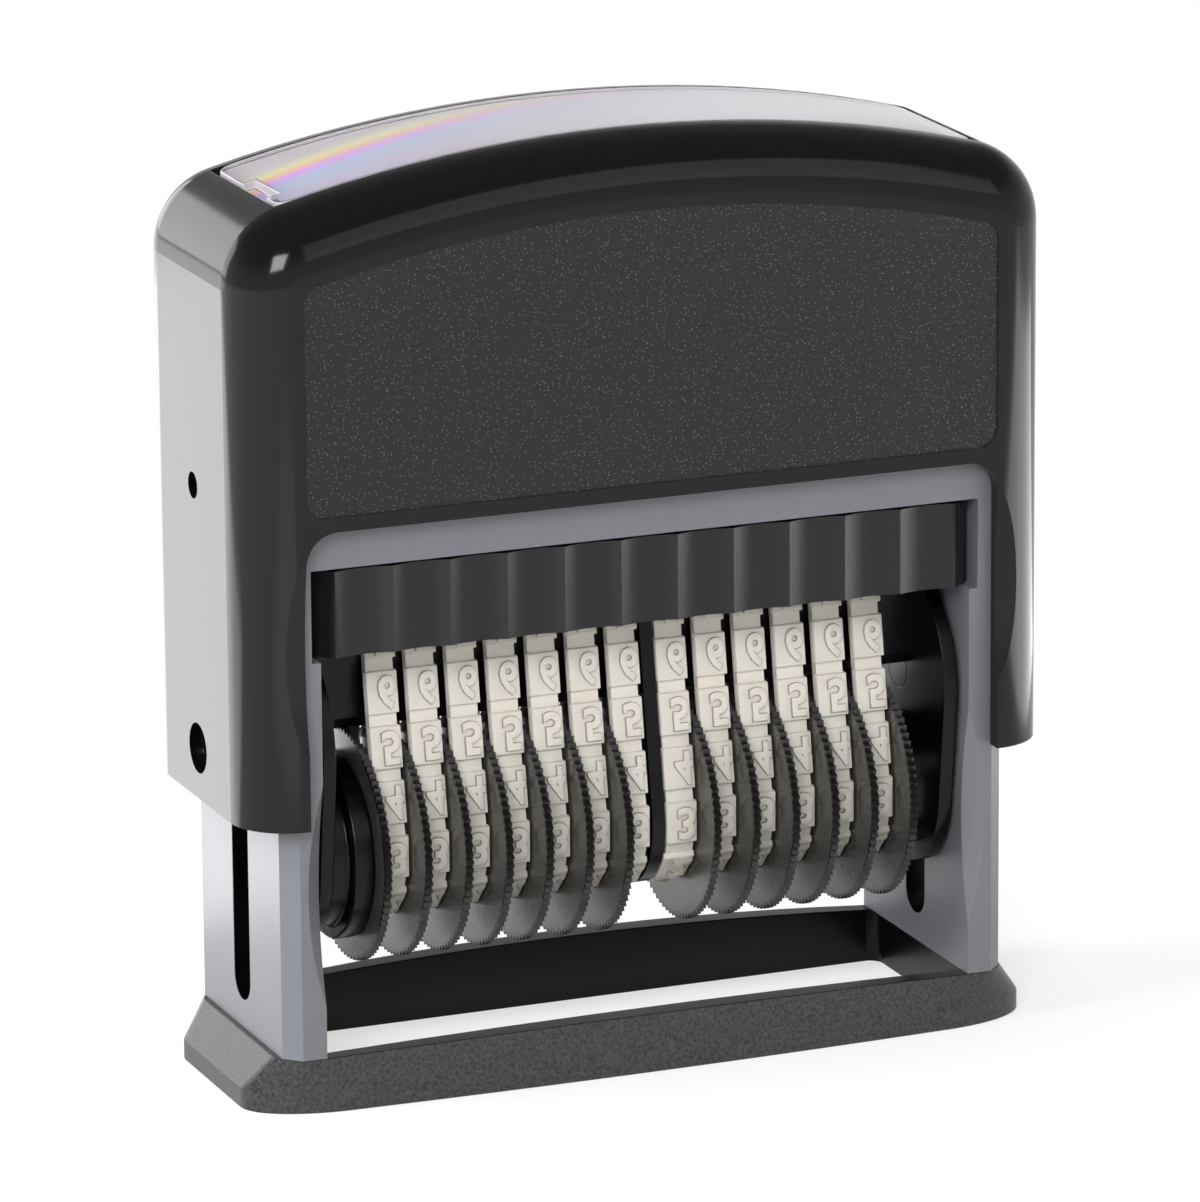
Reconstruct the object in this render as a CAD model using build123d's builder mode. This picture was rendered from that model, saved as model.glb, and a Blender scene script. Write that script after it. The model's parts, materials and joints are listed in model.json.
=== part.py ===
"""Self-inking numbering stamp: number bands on a carrier that turns over when the hood is pressed.

Millimetres. X runs along the line of type, -Y is the front, +Z is up.
The origin is the middle of the foot's underside.
"""
import os
from math import cos, pi, sin, sqrt

from build123d import *

# Clearances
seat_clear = 0.02  # pieces pressed or glued together
run_clear = 0.05  # a shaft in its bore, at the radius

# Number bands and digit wheels
left_wheels = 7
right_wheels = 6
band_width = 2.5
strip_thickness = 0.75
type_height = 0.45
digit_relief = 0.25  # raised figures that stand on the type blocks
type_count = 14
type_groove = 0.85
disc_thickness = 0.55
disc_clear = 0.075
disc_radius = 8.82
tooth_count = 86
tooth_depth = 0.35
drum_band_radius = 4.5
drum_clear = 0.15
axle_diameter = 3.0

# Carrier
flange_length = 3.1
flange_radius = 7.0
flange_rim = 1.6
flange_neck_radius = 6.0
spacer_length = 2.5
spacer_radius = 5.2
end_clear = 0.125
divider_thickness = 1.0
divider_clear = 0.15
divider_margin = 0.35
bridge_width = 5.8
bridge_corner = 0.8
bridge_height = 6.5
spine_width = 2.4
spine_gap = 0.1
plate_thickness = 1.1
plate_head_radius = 8.6
plate_tail_radius = 6.6
plate_top_clear = 0.5
axle_drop = 8.3
axle_forward = 1.0
pin_diameter = 3.2
peg_diameter = 2.0
peg_crank = 5.0
peg_length = 1.2

# Stroke
travel = 16.2
type_reach = 9.8
print_gap = 0.05
pad_gap = 0.15

# Pad tray
pad_thickness = 4.0
pad_width = 50.0
pad_depth = 15.8
pad_clear = 0.1
tray_wall = 1.2
tray_roof = 1.0
tray_lip = 1.5
tray_rear_lift = 0.2
tray_side_clear = 0.2
tray_run_clear = 0.2
grip_thickness = 1.7
grip_width = 51.7
grip_chamfer = 1.2
flute_count = 11
flute_pitch = 4.48
flute_radius = 6.2

# Inner frame
frame_depth = 19.4
leg_clear = 0.4
leg_thickness = 3.1
leg_chamfer = 1.2
deck_thickness = 2.8
slot_clear = 0.125
slot_overrun = 1.835
stop_clear = 0.15
cam_clear = 0.3
cam_end_clear = 0.3
cam_points = 24
scoop_rise = 3.9
scoop_length = 17.0
scoop_bite = 0.92
tenon_thickness = 1.2
tenon_width = 12.0
tenon_length = 2.0

# Base foot
foot_height = 4.15
foot_rim = 1.5
foot_depth = 21.0
foot_bow = 0.5
foot_shoulder = 0.4
foot_flare_side = 2.1
foot_flare_front = 0.3
foot_corner = 4.0
foot_corner_run = 8.0
foot_top_corner = 2.5
front_rail_crown = 0.3
rear_rail_crown = 1.0
window_side_clear = 0.9
window_depth = 16.6
window_corner = 1.0

# Return springs
spring_height = 22.0
spring_spread = 36.0
spring_diameter = 7.0
spring_wire = 0.6
spring_turns = 8
spring_peg_clear = 0.4
spring_peg_height = 1.5

# Hood
hood_wall = 1.6
hood_front_wall = 1.3
hood_front_clear = 0.4
guide_clear = 0.3
guide_height = 1.2
guide_width = 1.5
guide_spread = 12.0
hood_edge_radius = 4.5
hood_inner_corner = 3.0
shoulder_radius = 6.0
crown_radius = 110.0
roof_thickness = 5.3
roof_clear = 0.8
spring_pocket_margin = 2.0
bar_reveal = 0.4
ear_gap = 1.81
ear_width = 4.6
mouth_corner = 2.4
panel_depth = 0.12
panel_margin = 5.3
panel_side_margin = 4.7
panel_lift = 1.1
panel_corner = 1.5
pivot_boss_radius = 3.2
pivot_sight_diameter = 3.8
pivot_sight_depth = 1.0
side_hole_diameter = 2.0
side_hole_rise = 19.95
scallop_radius = 12.4
scallop_bite = 2.5
scallop_rise = 12.9
scallop_dish = 40.0

# Index window and card
index_length = 54.8
index_depth = 13.4
index_thickness = 1.2
card_thickness = 0.3
card_margin = 0.2
index_corner = 1.2
index_side_clear = 0.1
index_end_clear = 0.4
nail_step_length = 5.0
nail_step_width = 1.0
nail_step_shift = 1.6

# Line of type, from the left side plate to the right one
band_pitch = band_width + disc_thickness + 2 * disc_clear
band_thickness = strip_thickness + type_height
wheel_length = disc_thickness + disc_clear + band_width
middle_gap = divider_thickness + 2 * divider_clear
stack_length = (left_wheels + right_wheels) * band_pitch - 2 * disc_clear + middle_gap
carrier_inner = flange_length + spacer_length + 2 * end_clear + stack_length
carrier_outer = carrier_inner + 2 * plate_thickness
wheels_start = -carrier_inner / 2 + flange_length + end_clear
right_start = wheels_start + left_wheels * band_pitch - disc_clear + middle_gap
divider_start = right_start - divider_clear - divider_thickness

# Frame and hood, from the carrier outwards
frame_inner = carrier_outer + 2 * leg_clear
frame_width = frame_inner + 2 * leg_thickness
leg_middle = (frame_inner + leg_thickness) / 2
guide_half = frame_width / 2 + guide_clear
hood_inner_half = guide_half + guide_height
hood_half = hood_inner_half + hood_wall
hood_inner_depth = frame_depth + 2 * hood_front_clear
hood_depth = hood_inner_depth + 2 * hood_front_wall
foot_top_width = frame_width + 2 * foot_shoulder
foot_width = foot_top_width + 2 * foot_flare_side
tray_inside_width = pad_width + 2 * pad_clear
tray_width = tray_inside_width + 2 * tray_wall
tray_bay = tray_width + 2 * tray_side_clear

# Heights, from the paper upwards
pivot_z = print_gap + type_reach + travel
axle_y = -axle_forward
axle_z = pivot_z - axle_drop
bridge_top = pivot_z + type_reach - digit_relief - band_thickness - seat_clear
bridge_bottom = bridge_top - bridge_height
spine_height = bridge_bottom - axle_z - disc_radius - spine_gap
pad_face = pivot_z + type_reach + pad_gap
tray_bottom = pad_face - tray_lip
tray_ledge = tray_bottom - tray_run_clear
tray_top = pad_face + pad_thickness + tray_roof
deck_floor = tray_top + tray_run_clear
deck_top = deck_floor + deck_thickness
plate_top = tray_bottom - plate_top_clear
ear_bottom = foot_height + ear_gap + travel
mouth_top = deck_top + bar_reveal
mouth_half = hood_half - ear_width
cavity_top = deck_top + travel + roof_clear
roof_seat = deck_top + spring_height
hood_crown = roof_seat + roof_thickness
index_pocket = index_thickness + card_thickness

# Radii
axle_radius = axle_diameter / 2
pin_radius = pin_diameter / 2
peg_radius = peg_diameter / 2
drum_radius = drum_band_radius - drum_clear
spring_radius = (spring_diameter - spring_wire) / 2
spring_peg_radius = spring_radius - spring_wire / 2 - spring_peg_clear
pin_reach = hood_half - pivot_sight_depth - run_clear

os.makedirs("parts", exist_ok=True)


def side_plane(side, distance):
    """Upright plane across X at a distance from the middle, facing out to one side (-1 left, 1 right)."""
    return Plane(origin=(side * distance, 0, 0), x_dir=(0, side, 0), z_dir=(side, 0, 0))


def axle_plane(x):
    """Upright plane across X, centred on the wheel axle and facing right."""
    return Plane(origin=(x, axle_y, axle_z), x_dir=(0, 1, 0), z_dir=(1, 0, 0))


def face_plane(face, distance):
    """Upright plane across Y at a distance from the middle, facing the front (1) or the rear (-1)."""
    return Plane(origin=(0, -face * distance, 0), x_dir=(face, 0, 0), z_dir=(0, -face, 0))


def arch_z(x, drop):
    """Height of the hood's arched top at x, or of the arch a drop below it."""
    return hood_crown - crown_radius + sqrt((crown_radius - drop) ** 2 - x**2)


def write(part, name):
    """Label a finished piece and write its file."""
    part.label = name
    export_step(part, f"parts/{name}.step")


def foot_outline(width, depth, run, corner):
    """Rectangle with bowed long sides and corners rounded by a run along them and a radius across."""
    side = depth / 2 - foot_bow
    end = width / 2
    with BuildSketch() as outline:
        with BuildLine():
            ThreePointArc((run - end, -side), (0, -depth / 2), (end - run, -side))
            EllipticalCenterArc((end - run, corner - side), run, corner, 270)
            Line((end, corner - side), (end, side - corner))
            EllipticalCenterArc((end - run, side - corner), run, corner, 0)
            ThreePointArc((end - run, side), (0, depth / 2), (run - end, side))
            EllipticalCenterArc((run - end, side - corner), run, corner, 90)
            Line((-end, side - corner), (-end, corner - side))
            EllipticalCenterArc((run - end, corner - side), run, corner, 180)
        make_face()
    return outline.sketch


def band_outline(gap):
    """Loop round bridge and drum, a gap outside them, drawn in the current sketch."""
    corner_y = bridge_width / 2 - bridge_corner
    corner_z = bridge_top + seat_clear - bridge_corner
    with Locations((-corner_y, corner_z), (corner_y, corner_z)):
        Circle(bridge_corner + gap)
    with Locations((axle_y, axle_z)):
        Circle(drum_band_radius + gap)
    make_hull()


def arch_strip(half, drop, thickness):
    """Strip of the hood's arch, a drop below it."""
    low = drop + thickness
    with BuildSketch() as strip:
        with BuildLine():
            ThreePointArc((-half, arch_z(half, drop)), (0, hood_crown - drop), (half, arch_z(half, drop)))
            Line((half, arch_z(half, drop)), (half, arch_z(half, low)))
            ThreePointArc((half, arch_z(half, low)), (0, hood_crown - low), (-half, arch_z(half, low)))
            Line((-half, arch_z(half, low)), (-half, arch_z(half, drop)))
        make_face()
    return strip.sketch


def tooth_corner(corner):
    """Corner of a digit wheel's rim about its centre: tips and roots take turns."""
    turn = corner * pi / tooth_count
    radius = disc_radius - tooth_depth * (corner % 2)
    return radius * cos(turn), radius * sin(turn)


def coil_point(centre, quarter, rise):
    """Point and direction of a spring's wire after a number of quarter turns."""
    turn = quarter * pi / 2
    point = centre + Vector(spring_radius * cos(turn), spring_radius * sin(turn), quarter * rise)
    along = Vector(-spring_radius * sin(turn), spring_radius * cos(turn), rise / (pi / 2))
    return point, along.normalized()


def quarter_turn(centre, quarter, rise):
    """Quarter turn of a spring's wire as two arcs that meet in one direction, drawn in the current line."""
    start, start_along = coil_point(centre, quarter, rise)
    end, end_along = coil_point(centre, quarter + 1, rise)
    chord = end - start
    both = start_along + end_along
    bend = 2 * (1 - start_along.dot(end_along))
    lean = chord.dot(both)
    reach = (sqrt(lean**2 + bend * chord.dot(chord)) - lean) / bend
    middle = (start + start_along * reach + end - end_along * reach) / 2
    first = TangentArc(start, middle, tangent=start_along)
    TangentArc(middle, end, tangent=first % 1)


def cam_edge(turn):
    """Edge of the cam recess, as (y, z), where the carrier has turned by an angle in radians."""
    lead = travel / pi
    run_y = peg_crank * cos(turn)
    run_z = peg_crank * sin(turn) - lead
    reach = (peg_radius + cam_clear) / sqrt(run_y**2 + run_z**2)
    y = peg_crank * sin(turn) - reach * run_z
    z = pivot_z - lead * turn - peg_crank * cos(turn) + reach * run_y
    return y, z


# Base foot: open frame with a flared rim, crowned rails and a pocket for each leg
foot_top = foot_outline(foot_top_width, foot_depth - 2 * foot_flare_front, foot_top_corner, foot_top_corner)
rail_top = foot_height + max(front_rail_crown, rear_rail_crown)
with BuildPart() as base_foot:
    with BuildSketch():
        add(foot_outline(foot_width, foot_depth, foot_corner_run, foot_corner))
    extrude(amount=foot_rim)
    with BuildSketch(Plane.XY.offset(foot_rim)):
        add(foot_outline(foot_width, foot_depth, foot_corner_run, foot_corner))
    with BuildSketch(Plane.XY.offset(foot_height)):
        add(foot_top)
    loft()
    with BuildSketch(Plane.XY.offset(foot_height)):
        add(foot_top)
    extrude(amount=rail_top - foot_height)
    for side, crown in ((1, front_rail_crown), (-1, rear_rail_crown)):
        with BuildSketch(Plane.XZ):
            with BuildLine():
                arch = ThreePointArc(
                    (-frame_inner / 2, foot_height), (0, foot_height + crown), (frame_inner / 2, foot_height)
                )
                Polyline(
                    arch @ 1,
                    (foot_width / 2, foot_height),
                    (foot_width / 2, 2 * rail_top),
                    (-foot_width / 2, 2 * rail_top),
                    (-foot_width / 2, foot_height),
                    arch @ 0,
                )
            make_face()
        extrude(amount=side * foot_depth, mode=Mode.SUBTRACT)
    with BuildSketch():
        RectangleRounded(carrier_outer + 2 * window_side_clear, window_depth, window_corner)
    extrude(amount=rail_top, mode=Mode.SUBTRACT)
    with BuildSketch(Plane.XY.offset(foot_height)):
        with Locations((-leg_middle, 0), (leg_middle, 0)):
            Rectangle(tenon_thickness + 2 * seat_clear, tenon_width + 2 * seat_clear)
    extrude(amount=-tenon_length - seat_clear, mode=Mode.SUBTRACT)
write(base_foot.part, "base_foot")

# Inner frame: two legs and a deck, with pin slots, cam recesses and finger scoops
with BuildPart() as inner_frame:
    with BuildSketch(Plane.XY.offset(foot_height)):
        Rectangle(frame_width, frame_depth)
        chamfer(vertices(), leg_chamfer)
    extrude(amount=deck_top - foot_height)
    with BuildSketch(Plane.XZ):
        with Locations((0, (foot_height + deck_floor) / 2)):
            Rectangle(frame_inner, deck_floor - foot_height)
        with Locations((0, (tray_ledge + deck_floor) / 2)):
            Rectangle(tray_bay, deck_floor - tray_ledge)
    extrude(amount=frame_depth, both=True, mode=Mode.SUBTRACT)
    with BuildSketch(Plane.XY.offset(foot_height)):
        with Locations((-leg_middle, 0), (leg_middle, 0)):
            Rectangle(tenon_thickness, tenon_width)
    extrude(amount=-tenon_length)
    slot_top = pivot_z + pin_radius + stop_clear
    slot_bottom = pivot_z - travel - pin_radius - slot_clear - slot_overrun
    with BuildSketch(Plane.YZ):
        with Locations((0, (slot_top + slot_bottom) / 2)):
            SlotOverall(slot_top - slot_bottom, pin_diameter + 2 * slot_clear, rotation=90)
    extrude(amount=frame_width, both=True, mode=Mode.SUBTRACT)
    with BuildSketch(Plane.YZ):
        with BuildLine():
            cam = Spline([cam_edge(pi * step / cam_points) for step in range(cam_points + 1)])
            Polyline(cam @ 1, (0, cam_edge(pi)[1]), (0, cam_edge(0)[1]), cam @ 0)
        make_face()
    cam_floor = carrier_outer / 2 + peg_length + cam_end_clear
    extrude(amount=cam_floor, both=True, mode=Mode.SUBTRACT)
    scoop_low = foot_height + scoop_rise
    scoop_middle = scoop_low + scoop_length / 2
    scoop_high = scoop_low + scoop_length
    for side in (-1, 1):
        for face in (-1, 1):
            corner_point = (side * frame_inner / 2, face * frame_depth / 2)
            corner = Plane(corner_point, (side, -face, 0), (-face, -side, 0))
            with BuildSketch(corner):
                with BuildLine():
                    scoop = ThreePointArc((0, scoop_low), (scoop_bite, scoop_middle), (0, scoop_high))
                    Polyline(scoop @ 1, (-scoop_bite, scoop_high), (-scoop_bite, scoop_low), scoop @ 0)
                make_face()
            extrude(amount=2 * scoop_bite, both=True, mode=Mode.SUBTRACT)
    with BuildSketch(Plane.XY.offset(deck_top)):
        with GridLocations(spring_spread, 0, 2, 1):
            Circle(spring_peg_radius)
    extrude(amount=spring_peg_height)
write(inner_frame.part, "inner_frame")

# Ear scallop: shallow dish beside the hood's mouth, made at the right front
scallop_x = mouth_half + scallop_bite - scallop_radius
scallop_z = ear_bottom + scallop_rise
scallop_chord = 2 * sqrt(scallop_radius**2 - (mouth_half - scallop_x) ** 2)
with BuildPart() as ear_scallop:
    with Locations((mouth_half + scallop_bite / 2, -hood_depth / 2, scallop_z)):
        Box(2 * scallop_bite, 2 * hood_front_wall, scallop_chord + bar_reveal)
    with Locations((scallop_x, -hood_depth / 2 - scallop_dish, scallop_z)):
        Sphere(sqrt(scallop_dish**2 + scallop_radius**2), mode=Mode.INTERSECT)

# Hood: arched shell with a mouth at front and rear, guide ribs, pivot bosses and an index pocket
with BuildPart() as hood_shell:
    with BuildSketch(Plane.XZ):
        with BuildLine():
            shoulder_z = arch_z(hood_half, 0)
            ThreePointArc((-hood_half, shoulder_z), (0, hood_crown), (hood_half, shoulder_z))
            Polyline(
                (hood_half, shoulder_z),
                (hood_half, ear_bottom),
                (-hood_half, ear_bottom),
                (-hood_half, shoulder_z),
            )
        make_face()
        fillet(vertices().group_by(Axis.Y)[-1], shoulder_radius)
    extrude(amount=hood_depth / 2, both=True)
    rims = faces().filter_by(Axis.Y).edges()
    fillet(rims - rims.group_by(Axis.Z)[0], hood_edge_radius)
    with BuildSketch(Plane.XY.offset(ear_bottom)):
        RectangleRounded(2 * hood_inner_half, hood_inner_depth, hood_inner_corner)
    extrude(amount=cavity_top - ear_bottom, mode=Mode.SUBTRACT)
    with BuildSketch(Plane.XY.offset(cavity_top)):
        with GridLocations(spring_spread, 0, 2, 1):
            Circle(spring_diameter / 2 + spring_pocket_margin)
    extrude(amount=roof_seat - cavity_top, mode=Mode.SUBTRACT)
    with BuildSketch(Plane.XY.offset(roof_seat)):
        with GridLocations(spring_spread, 0, 2, 1):
            Circle(spring_peg_radius)
    extrude(amount=-spring_peg_height)
    with BuildSketch(Plane.XZ):
        with Locations((0, ear_bottom)):
            Rectangle(2 * mouth_half, 2 * (mouth_top - ear_bottom))
        fillet(vertices(), mouth_corner)
    extrude(amount=hood_depth, both=True, mode=Mode.SUBTRACT)
    with BuildSketch(Plane.XZ):
        pocket_half = index_length / 2 + index_end_clear
        with BuildLine():
            ThreePointArc(
                (-pocket_half, arch_z(pocket_half, index_pocket)),
                (0, hood_crown - index_pocket),
                (pocket_half, arch_z(pocket_half, index_pocket)),
            )
            Polyline(
                (pocket_half, arch_z(pocket_half, index_pocket)),
                (pocket_half, hood_crown + index_pocket),
                (-pocket_half, hood_crown + index_pocket),
                (-pocket_half, arch_z(pocket_half, index_pocket)),
            )
        make_face()
    extrude(amount=index_depth / 2 + index_side_clear, both=True, mode=Mode.SUBTRACT)
    for face in (-1, 1):
        with BuildSketch(face_plane(face, hood_depth / 2 - panel_depth)):
            panel_half = hood_half - panel_side_margin
            panel_shoulder = arch_z(panel_half, panel_margin)
            panel_bottom = mouth_top + panel_lift
            with BuildLine():
                ThreePointArc(
                    (-panel_half, panel_shoulder),
                    (0, hood_crown - panel_margin),
                    (panel_half, panel_shoulder),
                )
                Polyline(
                    (panel_half, panel_shoulder),
                    (panel_half, panel_bottom),
                    (-panel_half, panel_bottom),
                    (-panel_half, panel_shoulder),
                )
            make_face()
            fillet(vertices(), panel_corner)
        extrude(amount=hood_edge_radius, mode=Mode.SUBTRACT)
    with BuildSketch(Plane.XY.offset(ear_bottom + guide_height)):
        for side in (-1, 1):
            with Locations((side * (guide_half + hood_inner_half) / 2, 0)):
                with GridLocations(0, guide_spread, 1, 2):
                    Rectangle(guide_height, guide_width)
    extrude(amount=cavity_top - ear_bottom - guide_height)
    for side in (-1, 1):
        with BuildSketch(side_plane(side, guide_half)):
            with Locations((0, pivot_z)):
                Circle(pivot_boss_radius)
        extrude(amount=guide_height)
        with BuildSketch(side_plane(side, guide_half)):
            with Locations((0, pivot_z)):
                Circle(pin_radius + run_clear)
        extrude(amount=hood_half - guide_half, mode=Mode.SUBTRACT)
        with BuildSketch(side_plane(side, hood_half)):
            with Locations((0, pivot_z)):
                Circle(pivot_sight_diameter / 2)
        extrude(amount=-pivot_sight_depth, mode=Mode.SUBTRACT)
        with BuildSketch(side_plane(side, hood_half)):
            with Locations((0, pivot_z + side_hole_rise)):
                Circle(side_hole_diameter / 2)
        extrude(amount=-hood_wall, mode=Mode.SUBTRACT)
    right_scallops = [ear_scallop.part, ear_scallop.part.mirror(Plane.XZ)]
    add(right_scallops, mode=Mode.SUBTRACT)
    add([scallop.mirror(Plane.YZ) for scallop in right_scallops], mode=Mode.SUBTRACT)
write(hood_shell.part, "hood_shell")

# Index window: clear strip bent to the hood's arch, with a step for a fingernail at its left end
with BuildPart() as index_window:
    with BuildSketch(Plane.XZ):
        add(arch_strip(index_length / 2, 0, index_thickness))
    extrude(amount=index_depth / 2, both=True)
    fillet(edges().filter_by(Axis.Z), index_corner)
    nail_step_floor = arch_z(index_length / 2, index_thickness / 2)
    with BuildSketch(Plane.XY.offset(nail_step_floor)):
        with Locations((-index_length / 2, -nail_step_shift)):
            Rectangle(2 * nail_step_width, nail_step_length)
    extrude(amount=hood_crown - nail_step_floor, mode=Mode.SUBTRACT)
write(index_window.part, "index_window")

# Index card: thin slip between the window and the floor of its pocket
with BuildPart() as index_card:
    with BuildSketch(Plane.XZ):
        add(arch_strip(index_length / 2 - card_margin, index_thickness, card_thickness))
    extrude(amount=index_depth / 2 - card_margin, both=True)
write(index_card.part, "index_card")

# Carrier side plates: each has bores for its pivot pin and the axle, and a peg that turns the carrier over
for side, name in ((-1, "left"), (1, "right")):
    with BuildPart() as carrier_plate:
        with BuildSketch(side_plane(side, carrier_inner / 2)):
            with Locations((0, pivot_z)):
                Circle(plate_head_radius)
            with Locations((side * axle_y, axle_z)):
                Circle(plate_tail_radius)
            make_hull()
            with Locations((0, plate_top + plate_head_radius / 2)):
                Rectangle(2 * plate_head_radius, plate_head_radius, mode=Mode.SUBTRACT)
            with Locations((0, pivot_z)):
                Circle(pin_radius + seat_clear, mode=Mode.SUBTRACT)
            with Locations((side * axle_y, axle_z)):
                Circle(axle_radius + seat_clear, mode=Mode.SUBTRACT)
        extrude(amount=plate_thickness)
        with BuildSketch(side_plane(side, carrier_outer / 2)):
            with Locations((0, pivot_z - peg_crank)):
                Circle(peg_radius)
        extrude(amount=peg_length)
    write(carrier_plate.part, f"carrier_plate_{name}")

    with BuildPart() as pivot_pin:
        with BuildSketch(side_plane(side, carrier_inner / 2)):
            with Locations((0, pivot_z)):
                Circle(pin_radius)
        extrude(amount=pin_reach - carrier_inner / 2)
        chamfer(edges().filter_by(GeomType.CIRCLE).sort_by(Axis.X)[-1 if side > 0 else 0], pin_radius / 6)
    write(pivot_pin.part, f"pivot_pin_{name}")

# Type bridge: bar between the side plates that backs the bands at the print face, with a spine under it
with BuildPart() as type_bridge:
    with BuildSketch(Plane.YZ.offset(-carrier_inner / 2)):
        with Locations((0, bridge_top)):
            Rectangle(bridge_width, bridge_height, align=(Align.CENTER, Align.MAX))
        fillet(vertices().group_by(Axis.Y)[-1], bridge_corner)
        with Locations((0, bridge_bottom)):
            Rectangle(spine_width, spine_height, align=(Align.CENTER, Align.MAX))
    extrude(amount=carrier_inner)
write(type_bridge.part, "type_bridge")

# Wheel axle, from one side plate to the other
with BuildPart() as wheel_axle:
    with BuildSketch(axle_plane(-carrier_outer / 2)):
        Circle(axle_radius)
    extrude(amount=carrier_outer)
write(wheel_axle.part, "wheel_axle")

# Centre divider: plate between the two groups of bands, threaded on bridge and axle
with BuildPart() as centre_divider:
    with BuildSketch(Plane.YZ.offset(divider_start)):
        band_outline(strip_thickness + divider_margin)
        with Locations((0, bridge_top + seat_clear)):
            Rectangle(
                bridge_width + 2 * seat_clear,
                bridge_height + 2 * seat_clear,
                align=(Align.CENTER, Align.MAX),
                mode=Mode.SUBTRACT,
            )
        with Locations((0, bridge_bottom)):
            Rectangle(
                spine_width + 2 * seat_clear,
                spine_height + seat_clear,
                align=(Align.CENTER, Align.MAX),
                mode=Mode.SUBTRACT,
            )
        with Locations((axle_y, axle_z)):
            Circle(axle_radius + seat_clear, mode=Mode.SUBTRACT)
    extrude(amount=divider_thickness)
write(centre_divider.part, "centre_divider")

# End flange: collar on the axle between the left side plate and the first wheel
with BuildPart() as end_flange:
    with BuildSketch(axle_plane(-carrier_inner / 2)):
        Circle(flange_neck_radius)
    extrude(amount=flange_length)
    with BuildSketch(axle_plane(-carrier_inner / 2 + flange_length - flange_rim)):
        Circle(flange_radius)
    extrude(amount=flange_rim)
    with BuildSketch(axle_plane(-carrier_inner / 2)):
        Circle(axle_radius + seat_clear)
    extrude(amount=flange_length, mode=Mode.SUBTRACT)
write(end_flange.part, "end_flange")

# End spacer: bush on the axle between the last wheel and the right side plate
with BuildPart() as end_spacer:
    with BuildSketch(axle_plane(carrier_inner / 2 - spacer_length)):
        Circle(spacer_radius)
        Circle(axle_radius + seat_clear, mode=Mode.SUBTRACT)
    extrude(amount=spacer_length)
write(end_spacer.part, "end_spacer")

# Number band: rubber loop with raised type blocks, made with its left edge at x = 0
with BuildSketch(Plane.YZ) as strip_face:
    band_outline(strip_thickness)
strip_loop = strip_face.sketch.faces()[0].outer_wire()
print_point = Vector(0, 0, bridge_top + seat_clear + strip_thickness)
print_share = strip_loop.param_at_point(print_point)
with BuildPart() as number_band:
    with BuildSketch(Plane.YZ):
        band_outline(band_thickness)
    extrude(amount=band_width)
    with BuildSketch(Plane.YZ):
        band_outline(0)
    extrude(amount=band_width, mode=Mode.SUBTRACT)
    for block in range(type_count):
        share = (print_share + (block + 0.5) / type_count) % 1
        groove_foot = strip_loop.position_at(share)
        outward = strip_loop.tangent_at(share).cross(Vector(1, 0, 0))
        if outward.dot(groove_foot - Vector(0, axle_y, axle_z)) < 0:
            outward = -outward
        with BuildSketch(Plane(groove_foot, x_dir=outward, z_dir=(1, 0, 0))):
            Rectangle(2 * type_height, type_groove, align=(Align.MIN, Align.CENTER))
        extrude(amount=band_width, mode=Mode.SUBTRACT)

# Digit wheel: toothed disc with the drum that drives its band, made with the disc's outer face at x = 0
with BuildPart() as digit_wheel:
    with BuildSketch(axle_plane(0)):
        with BuildLine():
            Polyline([tooth_corner(corner) for corner in range(2 * tooth_count)], close=True)
        make_face()
    extrude(amount=disc_thickness)
    with BuildSketch(axle_plane(0)):
        Circle(drum_radius)
    extrude(amount=wheel_length)
    with BuildSketch(axle_plane(0)):
        Circle(axle_radius + run_clear)
    extrude(amount=wheel_length, mode=Mode.SUBTRACT)

# Each place along the axle takes a band and a wheel: discs stand at the outer side of their bands
left_places = [(wheels_start + place * band_pitch, True) for place in range(left_wheels)]
right_places = [(right_start + place * band_pitch, False) for place in range(right_wheels)]
mirrored_wheel = digit_wheel.part.mirror(Plane.YZ)
for number, (start, disc_first) in enumerate(left_places + right_places, 1):
    band_start = start + disc_thickness + disc_clear if disc_first else start
    write(Pos(band_start, 0, 0) * number_band.part, f"number_band_{number:02d}")
    if disc_first:
        write(Pos(start, 0, 0) * digit_wheel.part, f"digit_wheel_{number:02d}")
    else:
        write(Pos(start + wheel_length, 0, 0) * mirrored_wheel, f"digit_wheel_{number:02d}")

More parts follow.
